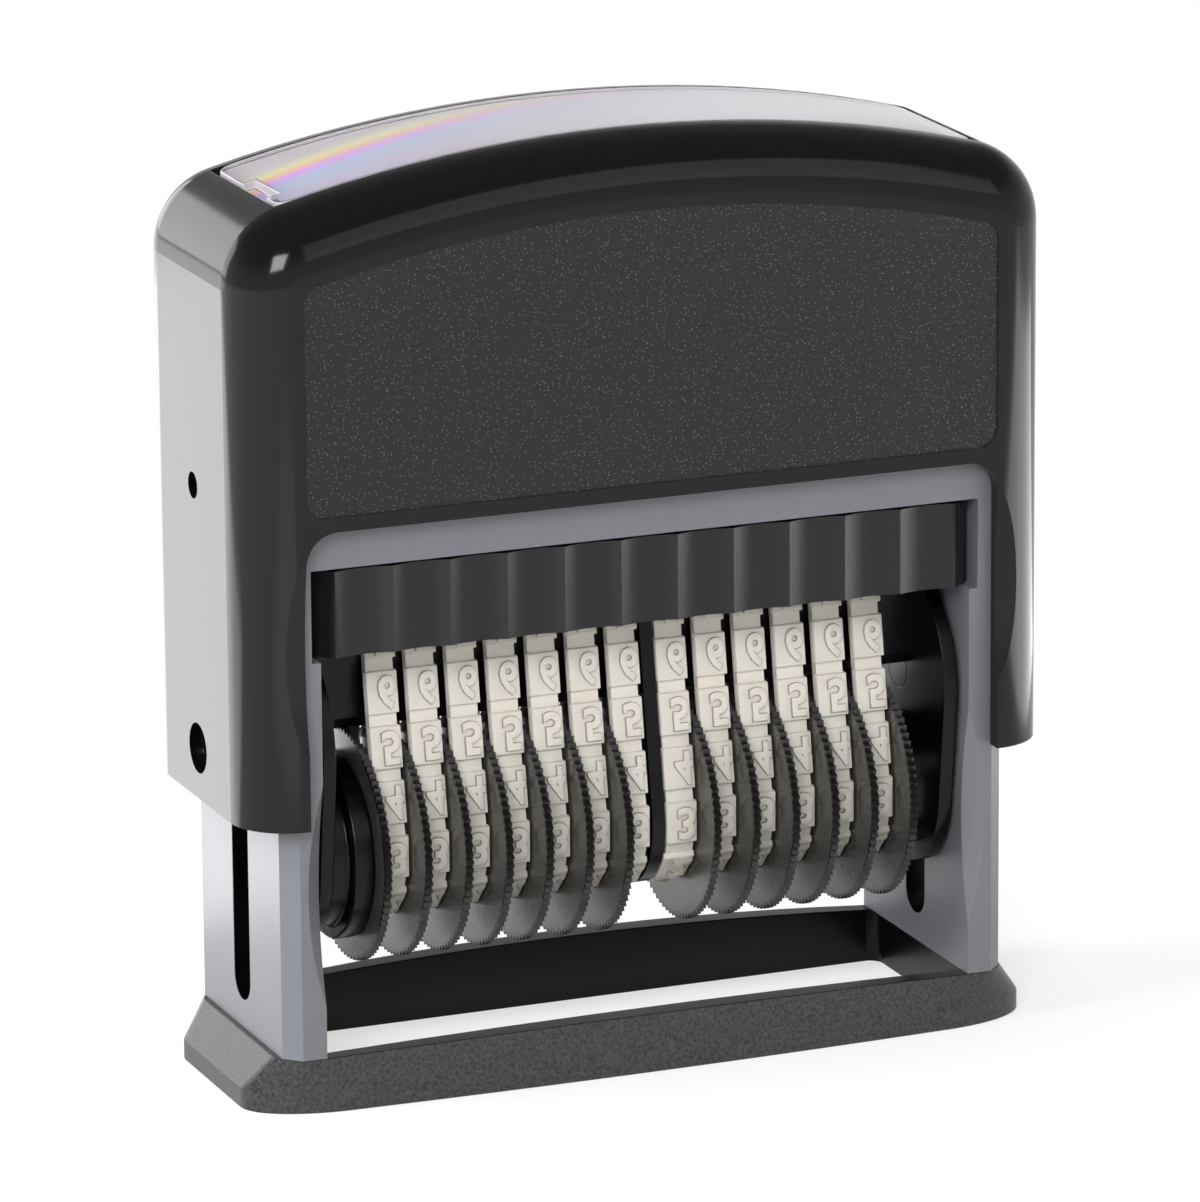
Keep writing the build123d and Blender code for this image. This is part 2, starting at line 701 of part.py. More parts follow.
# Pad tray: shallow drawer, open below, with a fluted grip at the front
tray_front = -frame_depth / 2
tray_inside_front = tray_front + grip_thickness
tray_inside_depth = pad_depth + 2 * pad_clear
tray_inside_rear = tray_inside_front + tray_inside_depth
tray_rear = tray_inside_rear + tray_wall
with BuildPart() as pad_tray:
    with BuildSketch(Plane.XY.offset(tray_bottom)):
        with Locations((0, tray_inside_front)):
            Rectangle(tray_width, tray_rear - tray_inside_front, align=(Align.CENTER, Align.MIN))
        with Locations((0, tray_front)):
            Rectangle(grip_width, grip_thickness, align=(Align.CENTER, Align.MIN))
        chamfer(vertices().group_by(Axis.Y)[0], grip_chamfer)
    extrude(amount=tray_top - tray_bottom)
    with BuildSketch(Plane.XY.offset(tray_bottom)):
        with Locations((0, tray_inside_front)):
            Rectangle(tray_inside_width, tray_inside_depth, align=(Align.CENTER, Align.MIN))
    extrude(amount=tray_top - tray_roof - tray_bottom, mode=Mode.SUBTRACT)
    with BuildSketch(Plane.XY.offset(tray_bottom)):
        with Locations((0, tray_inside_rear)):
            Rectangle(tray_inside_width, 2 * tray_wall)
    extrude(amount=pad_face + tray_rear_lift - tray_bottom, mode=Mode.SUBTRACT)
    flute_depth = flute_radius - sqrt(flute_radius**2 - (flute_pitch / 2) ** 2)
    with BuildSketch(Plane.XY.offset(tray_bottom)):
        with Locations((0, tray_front - flute_radius + flute_depth)):
            with GridLocations(flute_pitch, 0, flute_count, 1):
                Circle(flute_radius)
    extrude(amount=tray_top - tray_bottom, mode=Mode.SUBTRACT)
write(pad_tray.part, "pad_tray")

# Ink pad, face down in the tray
with BuildPart() as ink_pad:
    with BuildSketch(Plane.XY.offset(pad_face)):
        with Locations((0, tray_inside_front + pad_clear)):
            Rectangle(pad_width, pad_depth, align=(Align.CENTER, Align.MIN))
    extrude(amount=pad_thickness)
write(ink_pad.part, "ink_pad")

# Return springs: wire coils between the deck and the hood's roof
for side, name in ((-1, "left"), (1, "right")):
    centre = Vector(side * spring_spread / 2, 0, deck_top + spring_wire / 2)
    quarters = 4 * spring_turns
    rise = (spring_height - spring_wire) / quarters
    with BuildPart() as return_spring:
        with BuildLine() as coil:
            for quarter in range(quarters):
                quarter_turn(centre, quarter, rise)
        wire_start, wire_along = coil_point(centre, 0, rise)
        with BuildSketch(Plane(wire_start, z_dir=wire_along)):
            Circle(spring_wire / 2)
        sweep()
    write(return_spring.part, f"return_spring_{name}")
    turn_above = [coil.wire() @ (1 / spring_turns + step / quarters) for step in range(quarters - 4)]
    least_gap = min((above - coil.wire() @ (step / quarters)).length for step, above in enumerate(turn_above))
    print(f"return_spring_{name}: least gap between turns {least_gap - spring_wire:.2f} mm")
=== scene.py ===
"""Looks of a self-inking numbering stamp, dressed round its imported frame.

Blender works in metres, in the frame's axes: +X along the line of type, -Y to the front, +Z up.
Sizes in the classes below are in millimetres, as on a drawing, and go through MM into a mesh.
"""
import json
import logging
import math
from contextlib import contextmanager
from dataclasses import dataclass
from enum import Enum
from typing import Callable, Iterator

import bmesh
import bpy
from mathutils import Matrix, Quaternion, Vector

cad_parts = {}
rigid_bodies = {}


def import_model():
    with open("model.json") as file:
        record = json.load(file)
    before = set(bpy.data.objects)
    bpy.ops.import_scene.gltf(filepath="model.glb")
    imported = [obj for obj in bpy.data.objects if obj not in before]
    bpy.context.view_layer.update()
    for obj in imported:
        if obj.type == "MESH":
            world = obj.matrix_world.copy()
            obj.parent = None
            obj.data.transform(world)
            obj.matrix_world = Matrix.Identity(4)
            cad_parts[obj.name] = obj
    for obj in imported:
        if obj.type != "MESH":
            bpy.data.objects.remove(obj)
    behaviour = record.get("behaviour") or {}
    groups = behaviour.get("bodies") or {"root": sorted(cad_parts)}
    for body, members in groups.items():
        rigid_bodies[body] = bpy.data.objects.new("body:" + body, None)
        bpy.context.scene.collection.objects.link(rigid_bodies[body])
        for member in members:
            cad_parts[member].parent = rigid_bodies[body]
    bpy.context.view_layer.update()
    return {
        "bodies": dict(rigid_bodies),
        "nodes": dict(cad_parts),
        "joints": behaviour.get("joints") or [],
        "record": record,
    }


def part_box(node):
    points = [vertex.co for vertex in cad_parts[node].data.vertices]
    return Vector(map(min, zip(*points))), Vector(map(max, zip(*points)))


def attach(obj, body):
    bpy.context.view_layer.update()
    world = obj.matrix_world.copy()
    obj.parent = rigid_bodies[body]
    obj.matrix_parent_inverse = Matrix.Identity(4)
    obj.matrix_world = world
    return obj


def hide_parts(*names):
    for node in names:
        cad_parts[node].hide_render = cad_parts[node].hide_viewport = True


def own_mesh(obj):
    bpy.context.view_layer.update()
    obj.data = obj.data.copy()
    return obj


MM = 0.001
BAND_COUNT = 13
# Height of the centre of the hood's arch, which its panels and its window share, in millimetres.
ARCH_CENTRE = -38.7
# A face whose normal points along an axis by more than this faces that way.
FACING = 0.9
# Steps in a small round, and how far a smoothed edge leans to its larger face.
ROUND_STEPS = 3
FACE_WEIGHT = 100
# A Mix node's colour sockets go by number, because its other sockets have the same names.
MIX_A, MIX_B, MIX_OUT = 6, 7, 2
# Height of the lit cards that lie on the table, in millimetres.
CARD_LEVEL = 1.0
log = logging.getLogger("numbering_stamp")

Colour = tuple[float, float, float, float]
Point = tuple[float, float]
Span = tuple[float, Callable[[float], tuple[Point, float]]]
Piece = bpy.types.Object
Tree = bpy.types.NodeTree
Socket = bpy.types.NodeSocket


def linear(hex_colour: str) -> Colour:
    """Turn an sRGB hex colour into linear light.

    Args:
        hex_colour: A colour such as "#7f8288".

    Returns:
        Red, green, blue and a full alpha.
    """
    steps = [int(hex_colour[start : start + 2], 16) / 255 for start in (1, 3, 5)]
    red, green, blue = (s / 12.92 if s <= 0.04045 else ((s + 0.055) / 1.055) ** 2.4 for s in steps)
    return red, green, blue, 1.0


def per_mm(size: float) -> float:
    """Texture scale at which one cell of a pattern is this many millimetres wide."""
    return 1 / (size * MM)


def activate(piece: Piece) -> None:
    """Make one piece the only selected and active object."""
    bpy.ops.object.select_all(action="DESELECT")
    piece.select_set(True)
    bpy.context.view_layer.objects.active = piece


@contextmanager
def editing(piece: Piece) -> Iterator[None]:
    """Edit mode on one piece, which is all selected at first."""
    activate(piece)
    bpy.ops.object.mode_set(mode="EDIT")
    bpy.ops.mesh.select_all(action="SELECT")
    yield
    bpy.ops.object.mode_set(mode="OBJECT")


def pick_faces(piece: Piece, test: Callable[[bmesh.types.BMFace], bool]) -> None:
    """Select the faces that pass a test on place or normal, in edit mode."""
    bpy.ops.mesh.select_mode(type="FACE")
    shape = bmesh.from_edit_mesh(piece.data)
    for face in shape.faces:
        face.select_set(test(face))
    shape.select_flush_mode()
    bmesh.update_edit_mesh(piece.data)


def pick_edges(piece: Piece, test: Callable[[bmesh.types.BMEdge], bool]) -> None:
    """Select the edges that pass a test on place or direction, in edit mode."""
    bpy.ops.mesh.select_mode(type="EDGE")
    shape = bmesh.from_edit_mesh(piece.data)
    for edge in shape.edges:
        edge.select_set(test(edge))
    shape.select_flush_mode()
    bmesh.update_edit_mesh(piece.data)


def apply_modifier(piece: Piece, kind: str, **settings: object) -> None:
    """Add a modifier to a piece and apply it.

    Args:
        piece: The piece to change.
        kind: Blender's name for the modifier.
        settings: Values for the modifier's own settings.
    """
    activate(piece)
    modifier = piece.modifiers.new(kind.lower(), kind)
    for key, value in settings.items():
        setattr(modifier, key, value)
    bpy.ops.object.modifier_apply(modifier=modifier.name)


def smooth(piece: Piece, degrees: float) -> None:
    """Shade a piece smooth, apart from edges sharper than an angle, with flat faces kept flat."""
    activate(piece)
    bpy.ops.object.shade_smooth_by_angle(angle=math.radians(degrees))
    apply_modifier(piece, "WEIGHTED_NORMAL", keep_sharp=True, weight=FACE_WEIGHT)


def block(name: str, size: Vector, middle: Vector) -> Piece:
    """Add a box at its size and place, ready to be shaped.

    Args:
        name: The piece's name.
        size: Its width, depth and height in millimetres.
        middle: Its centre in millimetres.

    Returns:
        The new object, at the origin with its place in its mesh.
    """
    bpy.ops.object.select_all(action="DESELECT")
    bpy.ops.mesh.primitive_cube_add(size=1)
    piece = bpy.context.object
    piece.name = name
    piece.data.transform(Matrix.Translation(middle * MM) @ Matrix.Diagonal((*(size * MM), 1)))
    return piece


def join(name: str, pieces: list[Piece]) -> Piece:
    """Join pieces into one object and name it."""
    activate(pieces[0])
    for piece in pieces:
        piece.select_set(True)
    bpy.ops.object.join()
    joined = bpy.context.object
    joined.name = name
    joined.data.name = name
    return joined


def node(tree: Tree, kind: str, settings: dict | None = None, inputs: dict | None = None) -> bpy.types.Node:
    """Add a node with its settings and links.

    Args:
        tree: The node tree that it goes into.
        kind: Blender's type name for the node.
        settings: Values for the node's own properties.
        inputs: For each input socket's name or number, a value or the socket that feeds it.

    Returns:
        The new node.
    """
    made = tree.nodes.new(kind)
    for key, value in (settings or {}).items():
        setattr(made, key, value)
    for key, value in (inputs or {}).items():
        if isinstance(value, Socket):
            tree.links.new(value, made.inputs[key])
        else:
            made.inputs[key].default_value = value
    return made


@dataclass(frozen=True)
class Finish:
    """A finish: the name of its material, and the ways to put it on a piece."""

    name: str

    def material(self) -> bpy.types.Material:
        """Give the finish's material, made at its first use."""
        known = bpy.data.materials.get(self.name)
        if known:
            return known
        made = bpy.data.materials.new(self.name)
        made.use_nodes = True
        tree = made.node_tree
        tree.nodes.clear()
        place = node(tree, "ShaderNodeTexCoord").outputs["Object"]
        surface = self.surface(tree, place)
        node(tree, "ShaderNodeOutputMaterial", inputs={"Surface": surface})
        return made

    def surface(self, tree: Tree, place: Socket) -> Socket:
        """Build the shader and give its output."""
        raise NotImplementedError

    def raised(self, tree: Tree, height: Socket, depth: float, sockets: dict) -> Socket:
        """Build a shader whose surface follows a pattern of heights.

        Args:
            tree: The material's node tree.
            height: The pattern, from 0 to 1.
            depth: How deep it is, in millimetres.
            sockets: The shader's other inputs.

        Returns:
            The shader's output.
        """
        normal = node(
            tree, "ShaderNodeBump", inputs={"Height": height, "Distance": depth * MM, "Strength": 1.0}
        ).outputs["Normal"]
        shader = node(tree, "ShaderNodeBsdfPrincipled", inputs={"Normal": normal, **sockets})
        return shader.outputs["BSDF"]

    def mottled(
        self, tree: Tree, place: Socket, size: float, detail: float, colours: tuple[str, str]
    ) -> tuple[Socket, Socket]:
        """Build a cloudy pattern of two colours.

        Args:
            tree: The material's node tree.
            place: The place on the piece.
            size: Width of a cloud, in millimetres.
            detail: How many finer patterns lie in it.
            colours: The two colours.

        Returns:
            The pattern, from 0 to 1, and its colour.
        """
        pattern = node(
            tree, "ShaderNodeTexNoise", inputs={"Vector": place, "Scale": per_mm(size), "Detail": detail}
        ).outputs["Fac"]
        first, second = (linear(colour) for colour in colours)
        colour = node(
            tree, "ShaderNodeMix", {"data_type": "RGBA"}, {"Factor": pattern, MIX_A: first, MIX_B: second}
        ).outputs[MIX_OUT]
        return pattern, colour

    def dress(self, piece: Piece) -> None:
        """Give a piece this finish all over."""
        piece.data.materials.clear()
        piece.data.materials.append(self.material())

    def dress_faces(self, piece: Piece, test: Callable[[bpy.types.MeshPolygon], bool]) -> None:
        """Give this finish to those faces of a dressed piece that pass a test."""
        piece.data.materials.append(self.material())
        for face in piece.data.polygons:
            if test(face):
                face.material_index = len(piece.data.materials) - 1

    def dress_node(self, piece: Piece) -> None:
        """Give a carried-over node this finish in its own slots."""
        for slot in piece.material_slots:
            slot.material = self.material()


@dataclass(frozen=True)
class MouldedPlastic(Finish):
    """Injection-moulded plastic: a dull even grain from the mould, with some drift in colour and polish.

    The grain is drawn coarser than the mould's own, so that it shows.
    """

    colour: str
    # Second colour of the drift: random tone, and on the foot also painted glints of the grain.
    drift_and_glint_colour: str
    roughness: float
    roughness_drift: float
    grain: float
    grain_depth: float
    drift: float = 9.0
    drift_from: float = 0.0
    drift_to: float = 1.0
    ior: float = 1.53

    def surface(self, tree: Tree, place: Socket) -> Socket:
        """Build the grained plastic and give its output."""
        drift = node(
            tree, "ShaderNodeTexNoise", inputs={"Vector": place, "Scale": per_mm(self.drift), "Detail": 4.0}
        ).outputs["Fac"]
        share = node(
            tree,
            "ShaderNodeMapRange",
            inputs={"Value": drift, "From Min": self.drift_from, "From Max": self.drift_to},
        ).outputs["Result"]
        colour = node(
            tree,
            "ShaderNodeMix",
            {"data_type": "RGBA"},
            {"Factor": share, MIX_A: linear(self.colour), MIX_B: linear(self.drift_and_glint_colour)},
        ).outputs[MIX_OUT]
        roughness = node(
            tree,
            "ShaderNodeMapRange",
            inputs={
                "Value": drift,
                "To Min": self.roughness - self.roughness_drift,
                "To Max": self.roughness + self.roughness_drift,
            },
        ).outputs["Result"]
        grain = node(
            tree, "ShaderNodeTexNoise", inputs={"Vector": place, "Scale": per_mm(self.grain), "Detail": 2.0}
        ).outputs["Fac"]
        sockets = {"Base Color": colour, "Roughness": roughness, "IOR": self.ior}
        return self.raised(tree, grain, self.grain_depth, sockets)


@dataclass(frozen=True)
class WheelPlastic(Finish):
    """Moulded acetal, spark-eroded but for its polished teeth: a dull warm grey inside a dark, shiny rim;
    the faces' lighter, warmer grey is painted bounce light from the bands and table.

    The grain is drawn coarser than the real one, so that it shows.
    """

    face: str
    face_drift: str
    rim: str
    axle_y: float
    axle_z: float
    rim_radius: float
    face_roughness: float = 0.26
    rim_roughness: float = 0.28
    grain: float = 0.2
    grain_depth: float = 0.014
    ior: float = 1.56

    def surface(self, tree: Tree, place: Socket) -> Socket:
        """Build faces and rim as one shader and give its output."""
        arm = node(
            tree,
            "ShaderNodeVectorMath",
            {"operation": "MULTIPLY_ADD"},
            {0: place, 1: (0, 1, 1), 2: (0, -self.axle_y * MM, -self.axle_z * MM)},
        ).outputs["Vector"]
        radius = node(tree, "ShaderNodeVectorMath", {"operation": "LENGTH"}, {0: arm}).outputs["Value"]
        on_rim = node(
            tree, "ShaderNodeMath", {"operation": "GREATER_THAN"}, {0: radius, 1: self.rim_radius * MM}
        ).outputs[0]
        # The faces' lighter, warmer grey is painted bounce light; the rim keeps the dark plastic's own
        # colour.
        grain, face = self.mottled(tree, place, self.grain, detail=3.0, colours=(self.face, self.face_drift))
        colour = node(
            tree,
            "ShaderNodeMix",
            {"data_type": "RGBA"},
            {"Factor": on_rim, MIX_A: face, MIX_B: linear(self.rim)},
        ).outputs[MIX_OUT]
        roughness = node(
            tree,
            "ShaderNodeMapRange",
            inputs={"Value": on_rim, "To Min": self.face_roughness, "To Max": self.rim_roughness},
        ).outputs["Result"]
        sockets = {"Base Color": colour, "Roughness": roughness, "IOR": self.ior}
        return self.raised(tree, grain, self.grain_depth, sockets)


@dataclass(frozen=True)
class HoodPlastic(Finish):
    """Polished ABS with a spark-eroded panel front and rear: deep gloss round a matt field with painted
    glints.

    The panel's grain and its glints, light specks painted into the colour as highlights, are drawn coarser
    than the real ones, so that they show.
    """

    gloss: str
    panel: str
    painted_glint: str
    panel_half: float
    panel_bottom: float
    panel_level: float
    arch_radius: float
    gloss_roughness: float = 0.12
    panel_roughness: float = 0.5
    grain: float = 0.22
    grain_depth: float = 0.03
    glint_spacing: float = 0.25
    glint_radius: float = 0.21
    glint_level: float = 0.5
    level_play: float = 0.04
    ior: float = 1.53
    specular: float = 0.27

    def all_hold(self, tree: Tree, tests: list[tuple[str, Socket, float]]) -> Socket:
        """Give 1 where every test holds and 0 elsewhere.

        Args:
            tree: The material's node tree.
            tests: The operation of each test, the value it looks at and the limit.

        Returns:
            The mask.
        """
        passed = [
            node(
                tree,
                "ShaderNodeMath",
                {"operation": operation},
                {0: value, 1: limit, 2: self.level_play * MM},
            ).outputs[0]
            for operation, value, limit in tests
        ]
        mask = passed[0]
        for other in passed[1:]:
            mask = node(tree, "ShaderNodeMath", {"operation": "MULTIPLY"}, {0: mask, 1: other}).outputs[0]
        return mask

    def panel_mask(self, tree: Tree, place: Socket) -> Socket:
        """Give 1 on the sunk panels and 0 elsewhere, from the place on the hood."""
        apart = node(tree, "ShaderNodeSeparateXYZ", inputs={"Vector": place}).outputs
        aside, away = (
            node(tree, "ShaderNodeMath", {"operation": "ABSOLUTE"}, {0: apart[axis]}).outputs[0]
            for axis in ("X", "Y")
        )
        rise = node(
            tree, "ShaderNodeMath", {"operation": "SUBTRACT"}, {0: apart["Z"], 1: ARCH_CENTRE * MM}
        ).outputs[0]
        reach = node(tree, "ShaderNodeCombineXYZ", inputs={"X": apart["X"], "Y": rise}).outputs[0]
        radius = node(tree, "ShaderNodeVectorMath", {"operation": "LENGTH"}, {0: reach}).outputs["Value"]
        tests = [
            ("LESS_THAN", aside, self.panel_half * MM),
            ("COMPARE", away, self.panel_level * MM),
            ("GREATER_THAN", apart["Z"], self.panel_bottom * MM),
            ("LESS_THAN", radius, self.arch_radius * MM),
        ]
        return self.all_hold(tree, tests)

    def surface(self, tree: Tree, place: Socket) -> Socket:
        """Build gloss and panel as one shader and give its output."""
        mask = self.panel_mask(tree, place)
        # Light specks painted into the panel's colour: painted glints.
        cells = node(
            tree, "ShaderNodeTexVoronoi", inputs={"Vector": place, "Scale": per_mm(self.glint_spacing)}
        ).outputs
        tests = [
            ("LESS_THAN", cells["Distance"], self.glint_radius),
            ("GREATER_THAN", cells["Color"], self.glint_level),
        ]
        painted_glint = self.all_hold(tree, tests)
        field = node(
            tree,
            "ShaderNodeMix",
            {"data_type": "RGBA"},
            {"Factor": painted_glint, MIX_A: linear(self.panel), MIX_B: linear(self.painted_glint)},
        ).outputs[MIX_OUT]
        colour = node(
            tree,
            "ShaderNodeMix",
            {"data_type": "RGBA"},
            {"Factor": mask, MIX_A: linear(self.gloss), MIX_B: field},
        ).outputs[MIX_OUT]
        roughness = node(
            tree,
            "ShaderNodeMapRange",
            inputs={"Value": mask, "To Min": self.gloss_roughness, "To Max": self.panel_roughness},
        ).outputs["Result"]
        grain = node(
            tree, "ShaderNodeTexNoise", inputs={"Vector": place, "Scale": per_mm(self.grain), "Detail": 2.0}
        ).outputs["Fac"]
        height = node(tree, "ShaderNodeMath", {"operation": "MULTIPLY"}, {0: grain, 1: mask}).outputs[0]
        sockets = {
            "Base Color": colour,
            "Roughness": roughness,
            "IOR": self.ior,
            "Specular IOR Level": self.specular,
        }
        return self.raised(tree, height, self.grain_depth, sockets)


@dataclass(frozen=True)
class ClearAcrylic(Finish):
    """Cast acrylic: clear and smooth, with light let through to what lies under it."""

    tint: str
    roughness: float = 0.03
    clear: float = 1.0
    ior: float = 1.49

    def surface(self, tree: Tree, place: Socket) -> Socket:
        """Build the clear shader and give its output."""
        shader = node(
            tree,
            "ShaderNodeBsdfPrincipled",
            inputs={
                "Base Color": linear(self.tint),
                "Roughness": self.roughness,
                "IOR": self.ior,
                "Transmission Weight": self.clear,
            },
        )
        through = node(tree, "ShaderNodeBsdfTransparent", inputs={"Color": linear(self.tint)})
        lamps = node(tree, "ShaderNodeLightPath").outputs["Is Shadow Ray"]
        mixed = node(
            tree,
            "ShaderNodeMixShader",
            inputs={0: lamps, 1: shader.outputs["BSDF"], 2: through.outputs["BSDF"]},
        )
        return mixed.outputs["Shader"]


@dataclass(frozen=True)
class PearlFilm(Finish):
    """Printed pearl film: a pale lilac grey, with one slanting streak of interference colours painted in as
    a fixed sheen.
    """

    pale: str
    deep: str
    half_length: float
    streak_slope: float
    streak_start: float
    streak_width: float
    streak_strength: float = 0.95
    fade_from: float = 0.05
    fade_to: float = 0.75
    roughness: float = 0.35
    ior: float = 1.5

    def surface(self, tree: Tree, place: Socket) -> Socket:
        """Build the film and give its output."""
        apart = node(tree, "ShaderNodeSeparateXYZ", inputs={"Vector": place})
        along = node(
            tree,
            "ShaderNodeMapRange",
            inputs={
                "Value": apart.outputs["X"],
                "From Min": -self.half_length * MM,
                "From Max": self.half_length * MM,
            },
        ).outputs["Result"]
        ground = node(
            tree,
            "ShaderNodeMix",
            {"data_type": "RGBA"},
            {"Factor": along, MIX_A: linear(self.deep), MIX_B: linear(self.pale)},
        ).outputs[MIX_OUT]
        slant = node(
            tree,
            "ShaderNodeMath",
            {"operation": "MULTIPLY_ADD"},
            {0: apart.outputs["X"], 1: -self.streak_slope, 2: apart.outputs["Y"]},
        ).outputs[0]
        across = node(
            tree,
            "ShaderNodeMapRange",
            inputs={
                "Value": slant,
                "From Min": (self.streak_start + self.streak_width) * MM,
                "From Max": (self.streak_start - self.streak_width) * MM,
            },
        ).outputs["Result"]
        bands = node(tree, "ShaderNodeValToRGB", inputs={"Fac": across})
        self.paint(bands.color_ramp)
        share = node(
            tree,
            "ShaderNodeMapRange",
            {"interpolation_type": "SMOOTHSTEP"},
            {
                "Value": along,
                "From Min": self.fade_from,
                "From Max": self.fade_to,
                "To Min": self.streak_strength,
                "To Max": 0.0,
            },
        ).outputs["Result"]
        colour = node(
            tree,
            "ShaderNodeMix",
            {"data_type": "RGBA"},
            {"Factor": share, MIX_A: ground, MIX_B: bands.outputs["Color"]},
        ).outputs[MIX_OUT]
        shader = node(
            tree,
            "ShaderNodeBsdfPrincipled",
            inputs={"Base Color": colour, "Roughness": self.roughness, "IOR": self.ior},
        )
        return shader.outputs["BSDF"]

    def paint(self, ramp: bpy.types.ColorRamp) -> None:
        """Set the painted sheen's colours, from the streak's rear edge to its front edge."""
        stops = [
            (0.0, self.deep),
            (0.3, "#b9b2b4"),
            (0.4, "#dede86"),
            (0.46, "#efa680"),
            (0.52, "#cf82f2"),
            (0.62, "#90b4cc"),
            (0.78, "#b2a6c4"),
            (1.0, self.deep),
        ]
        while len(ramp.elements) < len(stops):
            ramp.elements.new(0.5)
        for element, (position, colour) in zip(ramp.elements, stops):
            element.position = position
            element.color = linear(colour)


@dataclass(frozen=True)
class TypeRubber(Finish):
    """Moulded natural rubber: warm off-white, matt, a little uneven in tone.

    The grain is drawn coarser than the real one, so that it shows.
    """

    colour: str
    shade: str
    roughness: float = 0.58
    mottle: float = 2.6
    grain: float = 0.18
    grain_depth: float = 0.006
    ior: float = 1.5

    def surface(self, tree: Tree, place: Socket) -> Socket:
        """Build the rubber and give its output."""
        _, colour = self.mottled(tree, place, self.mottle, detail=5.0, colours=(self.colour, self.shade))
        grain = node(
            tree, "ShaderNodeTexNoise", inputs={"Vector": place, "Scale": per_mm(self.grain), "Detail": 2.0}
        ).outputs["Fac"]
        sockets = {"Base Color": colour, "Roughness": self.roughness, "IOR": self.ior}
        return self.raised(tree, grain, self.grain_depth, sockets)


@dataclass(frozen=True)
class DrawnSteel(Finish):
    """Drawn or ground carbon steel: bright, with lines along the draw that scatter the highlight.

    The lines are drawn coarser than the real ones, so that they show.
    """

    colour: str
    roughness: float
    line: float
    draw: Vector
    roughness_drift: float = 0.1

    def surface(self, tree: Tree, place: Socket) -> Socket:
        """Build the metal and give its output."""
        stretched = node(tree, "ShaderNodeMapping", inputs={"Vector": place, "Scale": self.draw}).outputs[0]
        lines = node(
            tree,
            "ShaderNodeTexNoise",
            inputs={"Vector": stretched, "Scale": per_mm(self.line), "Detail": 3.0},
        ).outputs["Fac"]
        roughness = node(
            tree,
            "ShaderNodeMapRange",
            inputs={
                "Value": lines,
                "To Min": self.roughness - self.roughness_drift,
                "To Max": self.roughness + self.roughness_drift,
            },
        ).outputs["Result"]
        shader = node(
            tree,
            "ShaderNodeBsdfPrincipled",
            inputs={"Base Color": linear(self.colour), "Roughness": roughness, "Metallic": 1.0},
        )
        return shader.outputs["BSDF"]


@dataclass(frozen=True)
class InkedFelt(Finish):
    """Wool felt soaked with ink: nearly black, with a nap of short fibres and drier patches.

    The fibres are drawn coarser than wool, so that they show.
    """

    wet: str
    dry: str
    fibre: float = 0.25
    tangle: float = 1.5
    patch: float = 4.0
    nap: float = 0.08
    roughness: float = 0.8
    sheen: float = 0.25

    def surface(self, tree: Tree, place: Socket) -> Socket:
        """Build the felt and give its output."""
        _, colour = self.mottled(tree, place, self.patch, detail=6.0, colours=(self.wet, self.dry))
        fibres = node(
            tree,
            "ShaderNodeTexNoise",
            inputs={"Vector": place, "Scale": per_mm(self.fibre), "Detail": 4.0, "Distortion": self.tangle},
        ).outputs["Fac"]
        sockets = {"Base Color": colour, "Roughness": self.roughness, "Sheen Weight": self.sheen}
        return self.raised(tree, fibres, self.nap, sockets)


class Finishes(Enum):
    """The stamp's finishes, one for each kind of surface."""

    # The panel's light specks are painted glints.
    HOOD = HoodPlastic(
        "abs_polished_black_with_panel",
        gloss="#0a0a0b",
        panel="#1f2020",
        painted_glint="#5c5d5e",
        panel_half=27.32,
        panel_bottom=45.48,
        panel_level=11.28,
        arch_radius=104.72,
    )
    FRAME = MouldedPlastic(
        "abs_satin_grey",
        "#777980",
        "#717379",
        roughness=0.36,
        roughness_drift=0.04,
        grain=0.3,
        grain_depth=0.004,
    )
    # The light specks in its colour are partly random tone of the grain and partly painted glints.
    FOOT = MouldedPlastic(
        "abs_grained_black",
        "#0a0a0b",
        "#434344",
        roughness=0.38,
        roughness_drift=0.12,
        grain=0.2,
        grain_depth=0.03,
        drift=0.24,
        drift_from=0.3,
        drift_to=0.7,
    )
    TRAY = MouldedPlastic(
        "abs_satin_charcoal",
        "#0e0f0f",
        "#0b0c0c",
        roughness=0.26,
        roughness_drift=0.04,
        grain=0.3,
        grain_depth=0.006,
        ior=1.42,
    )
    CARRIER = MouldedPlastic(
        "acetal_satin_black",
        "#050505",
        "#040404",
        roughness=0.28,
        roughness_drift=0.05,
        grain=0.35,
        grain_depth=0.004,
        ior=1.3,
    )
    # Its faces' lighter, warmer grey is painted bounce light from the bands and table.
    WHEEL = WheelPlastic(
        "acetal_charcoal",
        face="#494744",
        face_drift="#3c3a37",
        rim="#141414",
        axle_y=-1.0,
        axle_z=17.75,
        rim_radius=8.4,
    )
    WINDOW = ClearAcrylic("acrylic_clear", "#f6f6f8")
    WINDOW_EDGE = ClearAcrylic("acrylic_milled_edge", "#cfcacf", roughness=0.35, clear=0.45)
    # The rainbow streak on the card is a painted sheen.
    CARD = PearlFilm(
        "pearl_film",
        pale="#d9d6dc",
        deep="#aea6ad",
        half_length=27.4,
        streak_slope=0.21,
        streak_start=5.4,
        streak_width=8.0,
    )
    RUBBER = TypeRubber("rubber_cream", "#e6e1d8", "#d9d3c8")
    # The figures' flanks get a darker copy of the rubber: painted shade, so that the raised figures read.
    FLANK = TypeRubber("rubber_cream_painted_flank_shade", "#b9b1a4", "#a79f92")
    AXLE = DrawnSteel("steel_ground", "#b4b6ba", roughness=0.28, line=0.12, draw=Vector((0.05, 1, 1)))
    SPRING = DrawnSteel("steel_spring_wire", "#9b9da2", roughness=0.32, line=0.1, draw=Vector((1, 1, 0.4)))
    FELT = InkedFelt("felt_inked", "#121218", "#23232b")


